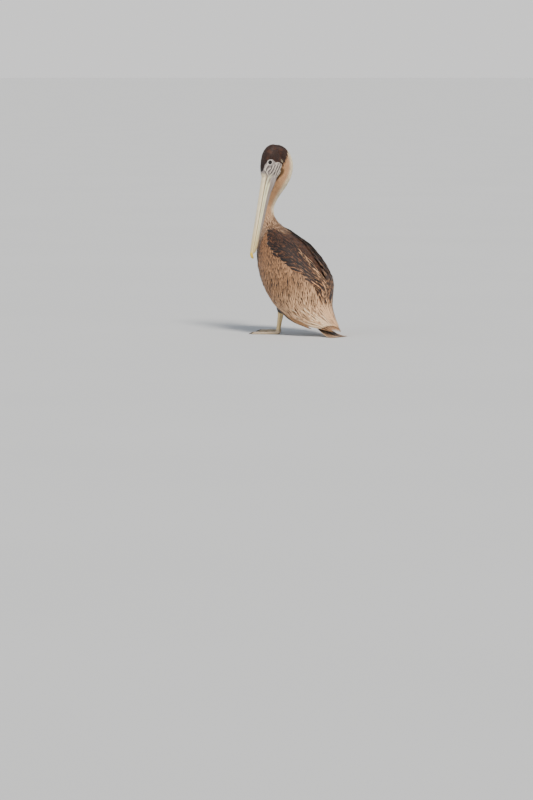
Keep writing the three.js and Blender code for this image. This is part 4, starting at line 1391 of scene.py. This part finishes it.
def make_bill():
    horn = horn_material("bill_horn", 0.42)
    pouch_skin = horn_material("pouch_skin", 0.6, relief=0.7)
    degrees = np.degrees

    def upper_carve(a, angle):
        run = ramp(a, 66, 84) * ramp(a, 356, 335)
        groove = 2.6 * band(degrees(angle), GROOVE_ANGLE, 7) * run
        flank = 1.1 * band(degrees(angle), 62, 16) * run
        return groove + flank + 0.12 * np.cos(a / 3.1 + 2 * np.sin(angle * 3))

    def upper_paint(a, angle):
        base = upper_bill_colours(a, angle)
        return base, base * 0.74

    def lower_carve(a, angle):
        side = np.abs(degrees(angle))
        return 0.8 * band(side, 92, 9) * ramp(a, 60, 90) + 0.1 * np.cos(a / 2.3)

    def lower_paint(a, angle):
        side = np.abs(degrees(angle))
        base = mix(BILL_GREY, BILL_CREAM * 0.9, ramp(side, 96, 66) * ramp(a, 76, 100))
        base = mix(base, shade(116, 106, 98), band(side, 92, 6) * 0.6)
        base = mix(base, BILL_TIP * 0.9, 0.6 * ramp(a, 240, 345))
        base = mix(base, FACE_SKIN, ramp(a, 92, 66))
        return base, base * 0.76

    def pouch_carve(a, angle):
        pleats = np.cos(9 * angle + 0.5 * np.sin(a / 17)) + 0.5 * np.cos(17 * angle + a / 23)
        return (0.35 * pleats + 0.35 * np.cos(a / 2.9 + 3 * np.sin(2 * angle))) * ramp(a, 322, 280) + 0.3

    def pouch_paint(a, angle):
        side = np.abs(degrees(angle))
        # Painted shade: the pouch is darker and browner on its side that faces the neck, and darker in the
        # cut-in grooves of its pleats.
        base = mix(shade(158, 150, 146), shade(120, 106, 92), ramp(side, 118, 170))
        base = mix(base, shade(104, 94, 88), 0.4 * ramp(np.cos(9 * angle + 0.5 * np.sin(a / 17)), 0.3, 1))
        base = mix(base, FACE_SKIN * 0.95, ramp(a, 96, 66))
        return base, base * 0.72

    def nail_paint(a, angle):
        base = mix(NAIL_TINT, NAIL_TIP, ramp(a, 360, 374)) + 0 * angle[..., None]
        return base, base * 0.85

    for name, slot, material, stations, size, carve, paint in (
        ("bill_upper", "bill_horn", horn, BILL_UPPER, (170, 96), upper_carve, upper_paint),
        ("bill_lower", "bill_horn", horn, BILL_LOWER, (170, 72), lower_carve, lower_paint),
        ("bill_pouch", "bare_skin", pouch_skin, POUCH, (190, 96), pouch_carve, pouch_paint),
        (
            "bill_nail", "bill_nail", horn_material("nail_horn", 0.3), NAIL, (40, 40),
            lambda a, angle: 0 * a, nail_paint,
        ),
    ):
        horn_piece(f"{name}_shape", slot, material, head_spine(stations), *size, carve, paint, name)


# ---------------------------------------------------------------- eyes


EYE_ROWS, EYE_ACROSS = 41, 64


def make_eyes():
    m = Paint("eye")
    rim = m.attribute("iris")
    fibres = m.noise(1.0, 3.0, vector=m.attribute("grain", "Vector"))
    iris = m.blend(fibres, tuple(shade(50, 34, 26)), tuple(shade(20, 13, 11)))
    tone = m.blend(m.step(rim, 0.42, 0.48), (0.002, 0.002, 0.002), iris)
    tone = m.blend(m.step(rim, 0.72, 0.86), tone, (0.004, 0.003, 0.003))
    m.finish(Base_Color=tone, Roughness=0.18, Specular_IOR_Level=0.25, Coat_Weight=0.35, Coat_Roughness=0.03)
    for name, side in SIDES.items():
        middle = on_head(EYE_AT * (1, side, 1))
        polar = np.linspace(0.02, np.pi - 0.02, EYE_ROWS)[:, None]
        turn = np.arange(EYE_ACROSS)[None] * 2 * np.pi / EYE_ACROSS
        bulge = 1 + 0.045 * np.exp(-((polar / 0.75) ** 2))
        ball = EYE_RADIUS * 0.985 * bulge
        flat, aside = ball * np.sin(polar), side * ball * np.cos(polar) + 0 * turn
        rings = np.stack([flat * np.cos(turn), aside, flat * np.sin(turn)], -1)
        verts, faces = tube(rings @ HEAD_AXES + middle)
        made = make_object(f"eyeball_{name}", verts, faces)
        whole = (EYE_ROWS, EYE_ACROSS)
        ends = lambda x, first, last: np.concatenate([np.broadcast_to(x, whole).ravel(), [first, last]])
        set_number(made.data, "iris", ends(np.minimum(np.sin(polar) + (polar > np.pi / 2), 1), 0, 1))
        grain = [ends(9 * np.cos(turn), 0, 0), ends(9 * np.sin(turn), 0, 0), ends(polar * 1.5, 0, 4)]
        set_vector(made.data, "grain", np.column_stack(grain))
        made.data.materials.append(m.material)
        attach(made, "root")
        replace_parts(made, f"eye_{name}")


# ---------------------------------------------------------------- legs and feet


def toe_way(side, angle):
    return np.array([-side * np.sin(np.radians(angle)), -np.cos(np.radians(angle)), 0])


def foot_turned(points, name):
    turn = np.radians(SIDES[name] * TOE_OUT)
    c, s = np.cos(turn), np.sin(turn)
    x, y, z = np.asarray(points, float).T
    return np.column_stack([x * c - y * s, x * s + y * c, z]) + ANKLES[name] * (1, 1, 0)


def turned_tube(rings, name):
    flat = foot_turned(rings.reshape(-1, 3), name)
    return tube(flat.reshape(rings.shape))


def toe_stations(side, angle, length, root, tip):
    way = toe_way(side, angle)
    stations = [(0, 6, 7.5, 7.5, 7.5, 8)]
    for share in np.linspace(0.14, 1, 13):
        size = mix(root, tip, share**0.8)
        knuckle = 1 + 0.13 * np.cos(2 * np.pi * (share * 3.5 + 0.1))
        x, y, _ = way * share * length
        stations.append((x, y, size * 0.82, size * 0.86 * knuckle, size * 0.84 * knuckle, size * 0.9))
    return stations


def web_rings(side, toe, following, rows=40, across=24):
    (angle, length, *_), (next_angle, next_length, *_) = toe, following
    first, last = toe_way(side, angle) * length, toe_way(side, next_angle) * next_length
    reach = 0.8 * min(length, next_length) + 0.06 * abs(length - next_length)
    bend = toe_way(side, (angle + next_angle) / 2) * reach
    w = np.linspace(0, 1, across)[:, None]
    edge = first * (1 - w) ** 2 + 2 * bend * w * (1 - w) + last * w**2
    rings = []
    for r in np.linspace(0.06, 0.985, rows):
        ripple = 0.35 * np.cos(2 * np.pi * (w * 5 + 0.3 * np.sin(9 * r))) * r * np.sin(np.pi * w)
        top = edge * r + (0, 0, 1) * (WEB_TOP - 0.8 + ripple + 1.6 * (1 - r))
        low = edge * r + (0, 0, -0.4)
        rings.append(np.vstack([top, low[::-1]]))
    return np.array(rings)


def leg_material():
    m = Paint("leg")
    cells = m.node("ShaderNodeTexVoronoi", {"Vector": m.place(), "Scale": 420.0}, feature="DISTANCE_TO_EDGE")
    scale = m.step(cells, 0.0, 0.22)
    patches = m.noise(70.0, 4.0)
    tone = m.blend(scale, tuple(shade(176, 156, 132)), m.attribute("tint", "Color"))
    tone = m.blend(m.math("MULTIPLY", patches, 0.2), tone, tuple(shade(160, 150, 132)))
    height = m.math("ADD", scale, m.math("MULTIPLY", m.noise(1300.0, 2.0), 0.3))
    return m.finish(Base_Color=tone, Normal=m.bump(height, 0.45, 0.3), Roughness=0.5, Specular_IOR_Level=0.4)


def make_leg(name, skin_paint, claw_paint):
    side, ankle, heel = SIDES[name], ANKLES[name], HEELS[name]
    parts, claws = [], []
    for toe in TOES:
        angle, length, *_ = toe
        parts.append(turned_tube(Spine(toe_stations(side, *toe), True).rings(60, 20), name))
        way = toe_way(side, angle)
        horn = [(*(way * (length + d))[:2], z, r, r, r) for d, z, r in
                ((-4, 3.0, 2.4), (1, 3.6, 2.5), (6, 3.2, 1.8), (10, 2.0, 1.1), (12.6, 1.0, 0.5))]
        claws.append(turned_tube(Spine(horn, True).rings(14, 14), name))
    for toe, following in zip(TOES, TOES[1:]):
        parts.append(turned_tube(web_rings(side, toe, following), name))
    root = [(0, 9, 6, 8, 8, 6), (0, 7, 12, 7, 8, 8), (0, 5, 22, 5.6, 7.6, 7.4)]
    parts.append(turned_tube(Spine(root, True).rings(12, 24), name))
    lean = heel - ankle
    at = lambda t: tuple(ankle + (0, 5, 0) + lean * t)
    bone = [
        (*at(0.02), 5.6, 7.6, 7.4), (*at(0.13), 5.2, 7.4, 7.2), (*at(0.35), 4.7, 7.1, 6.8),
        (*at(0.7), 4.8, 7.3, 7), (*at(0.92), 6.4, 8.7, 8.1), (*at(1.1), 6.0, 7.6, 7.6),
    ]
    parts.append(tube(Spine(bone, True).rings(50, 28)))
    leg = fused(f"leg_{name}", parts, 1.15, 3)
    points, normals = vertices_of(leg.data), normals_of(leg.data)
    z = points[:, 2]
    front = ramp(-normals[:, 1], 0.1, 0.7)
    scutes = np.abs(np.sin(np.pi * z / 4.6)) ** 0.5 * front * ramp(z, 20, 26)
    points = points + normals * (0.45 * (scutes - 0.5) * ramp(z, 20, 26))[:, None]
    low = points[:, 2] < 0.7
    points[:, 2] = np.where(low, 0.0, np.maximum(points[:, 2], 0))
    set_vertices(leg.data, points)
    thin = ramp(z, 5.5, 3.2)
    tint = mix(shade(172, 166, 154), shade(162, 158, 148), thin)
    # The shank's own pale tan, pushed brighter as painted light to make up for the body's shadow on it.
    tint = mix(tint, shade(255, 204, 162), ramp(z, 10, 26))
    set_colour(leg.data, "tint", tint * (1 + 0.1 * noise_at(points, 9.0)[:, None]))
    leg.data.materials.append(skin_paint)
    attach(leg, "root")
    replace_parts(leg, f"foot_{name}", f"shank_{name}")
    nails = make_object(f"claws_{name}", *joined(claws))
    nails.data.materials.append(claw_paint)
    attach(nails, "root")


def make_legs():
    claw = Paint("claw")
    streaks = claw.noise(300.0, 3.0)
    tone = claw.blend(streaks, tuple(shade(58, 50, 44)), tuple(shade(104, 92, 78)))
    claw.finish(Base_Color=tone, Roughness=0.35, Normal=claw.bump(streaks, 0.2, 0.2))
    paint = leg_material()
    for name in SIDES:
        make_leg(name, paint, claw.material)


make_bill()
make_eyes()
make_legs()


# ---------------------------------------------------------------- floor, light and camera

VIEW_AZIMUTH, VIEW_ELEVATION = np.radians(127), np.radians(3)
DISTANCE = 12.0
SCALE = 0.00375  # metres to a pixel of the 533 x 800 frame, at the bird
FOCAL_PIXELS = DISTANCE / SCALE
BIRD_MIDDLE = Vector((0, 0, 0.35))
FLOOR_RADIUS, LAMP_DISTANCE, SENSOR, FRAME_HEIGHT = 600, 5, 36.0, 800
FRAME_PLACE = (294.6 - 266.5, 400 - 241.3)  # where that point shows, right of and above the middle, in pixels
HORIZON, ZENITH = (0.99, 0.985, 0.98), (0.36, 0.40, 0.46)
# Far lights: azimuth, elevation and width in degrees, strength, colour.
LIGHTS = {"key": (150, 46, 16, 4.6, (1.0, 0.95, 0.87)), "fill": (70, 18, 50, 0.9, (0.94, 0.97, 1.0))}


def make_stage():
    bpy.ops.mesh.primitive_circle_add(vertices=96, radius=FLOOR_RADIUS, fill_type="NGON")
    floor = bpy.context.object
    floor.name = "floor"
    m = Paint("floor")
    tone = m.blend(m.noise(0.8, 2.0), (0.56, 0.565, 0.57), (0.60, 0.605, 0.61))
    floor.data.materials.append(m.finish(Base_Color=tone, Roughness=0.9, Specular_IOR_Level=0.1))
    world = bpy.data.worlds.new("studio")
    bpy.context.scene.world = world
    sky = Paint("sky", world)
    height = sky.node("ShaderNodeSeparateXYZ", {0: sky.node("ShaderNodeTexCoord")}, 2)
    sky.finish(Color=sky.blend(sky.step(height, 0.08, 0.5), HORIZON, ZENITH), Strength=1.0)


def direction(azimuth, elevation):
    """The unit vector that points from the bird towards an azimuth and an elevation, in radians."""
    flat = np.cos(elevation)
    return Vector((np.sin(azimuth) * flat, -np.cos(azimuth) * flat, np.sin(elevation)))


def add_light(name, azimuth, elevation, spread, strength, colour):
    """A far light as wide as a soft box: spread is its width in degrees."""
    light = bpy.data.lights.new(name, "SUN")
    light.angle, light.energy, light.color = np.radians(spread), strength, colour
    lamp = bpy.data.objects.new(name, light)
    bpy.context.scene.collection.objects.link(lamp)
    back = direction(np.radians(azimuth), np.radians(elevation))
    lamp.location = BIRD_MIDDLE + back * LAMP_DISTANCE
    lamp.rotation_mode = "QUATERNION"
    lamp.rotation_quaternion = back.to_track_quat("Z", "Y")


def make_camera():
    back = direction(VIEW_AZIMUTH, VIEW_ELEVATION)
    right = Vector((np.cos(VIEW_AZIMUTH), np.sin(VIEW_AZIMUTH), 0))
    up = back.cross(right)
    data = bpy.data.cameras.new("camera")
    data.sensor_width, data.lens = SENSOR, SENSOR * FOCAL_PIXELS / FRAME_HEIGHT
    data.clip_end = 2000
    camera = bpy.data.objects.new("camera", data)
    bpy.context.scene.collection.objects.link(camera)
    camera.location = BIRD_MIDDLE + back * DISTANCE
    target = BIRD_MIDDLE - (right * FRAME_PLACE[0] + up * FRAME_PLACE[1]) * SCALE
    camera.rotation_mode = "QUATERNION"
    camera.rotation_quaternion = (camera.location - target).to_track_quat("Z", "Y")
    bpy.context.scene.camera = camera


make_stage()
make_camera()
for light_name, light_values in LIGHTS.items():
    add_light(light_name, *light_values)
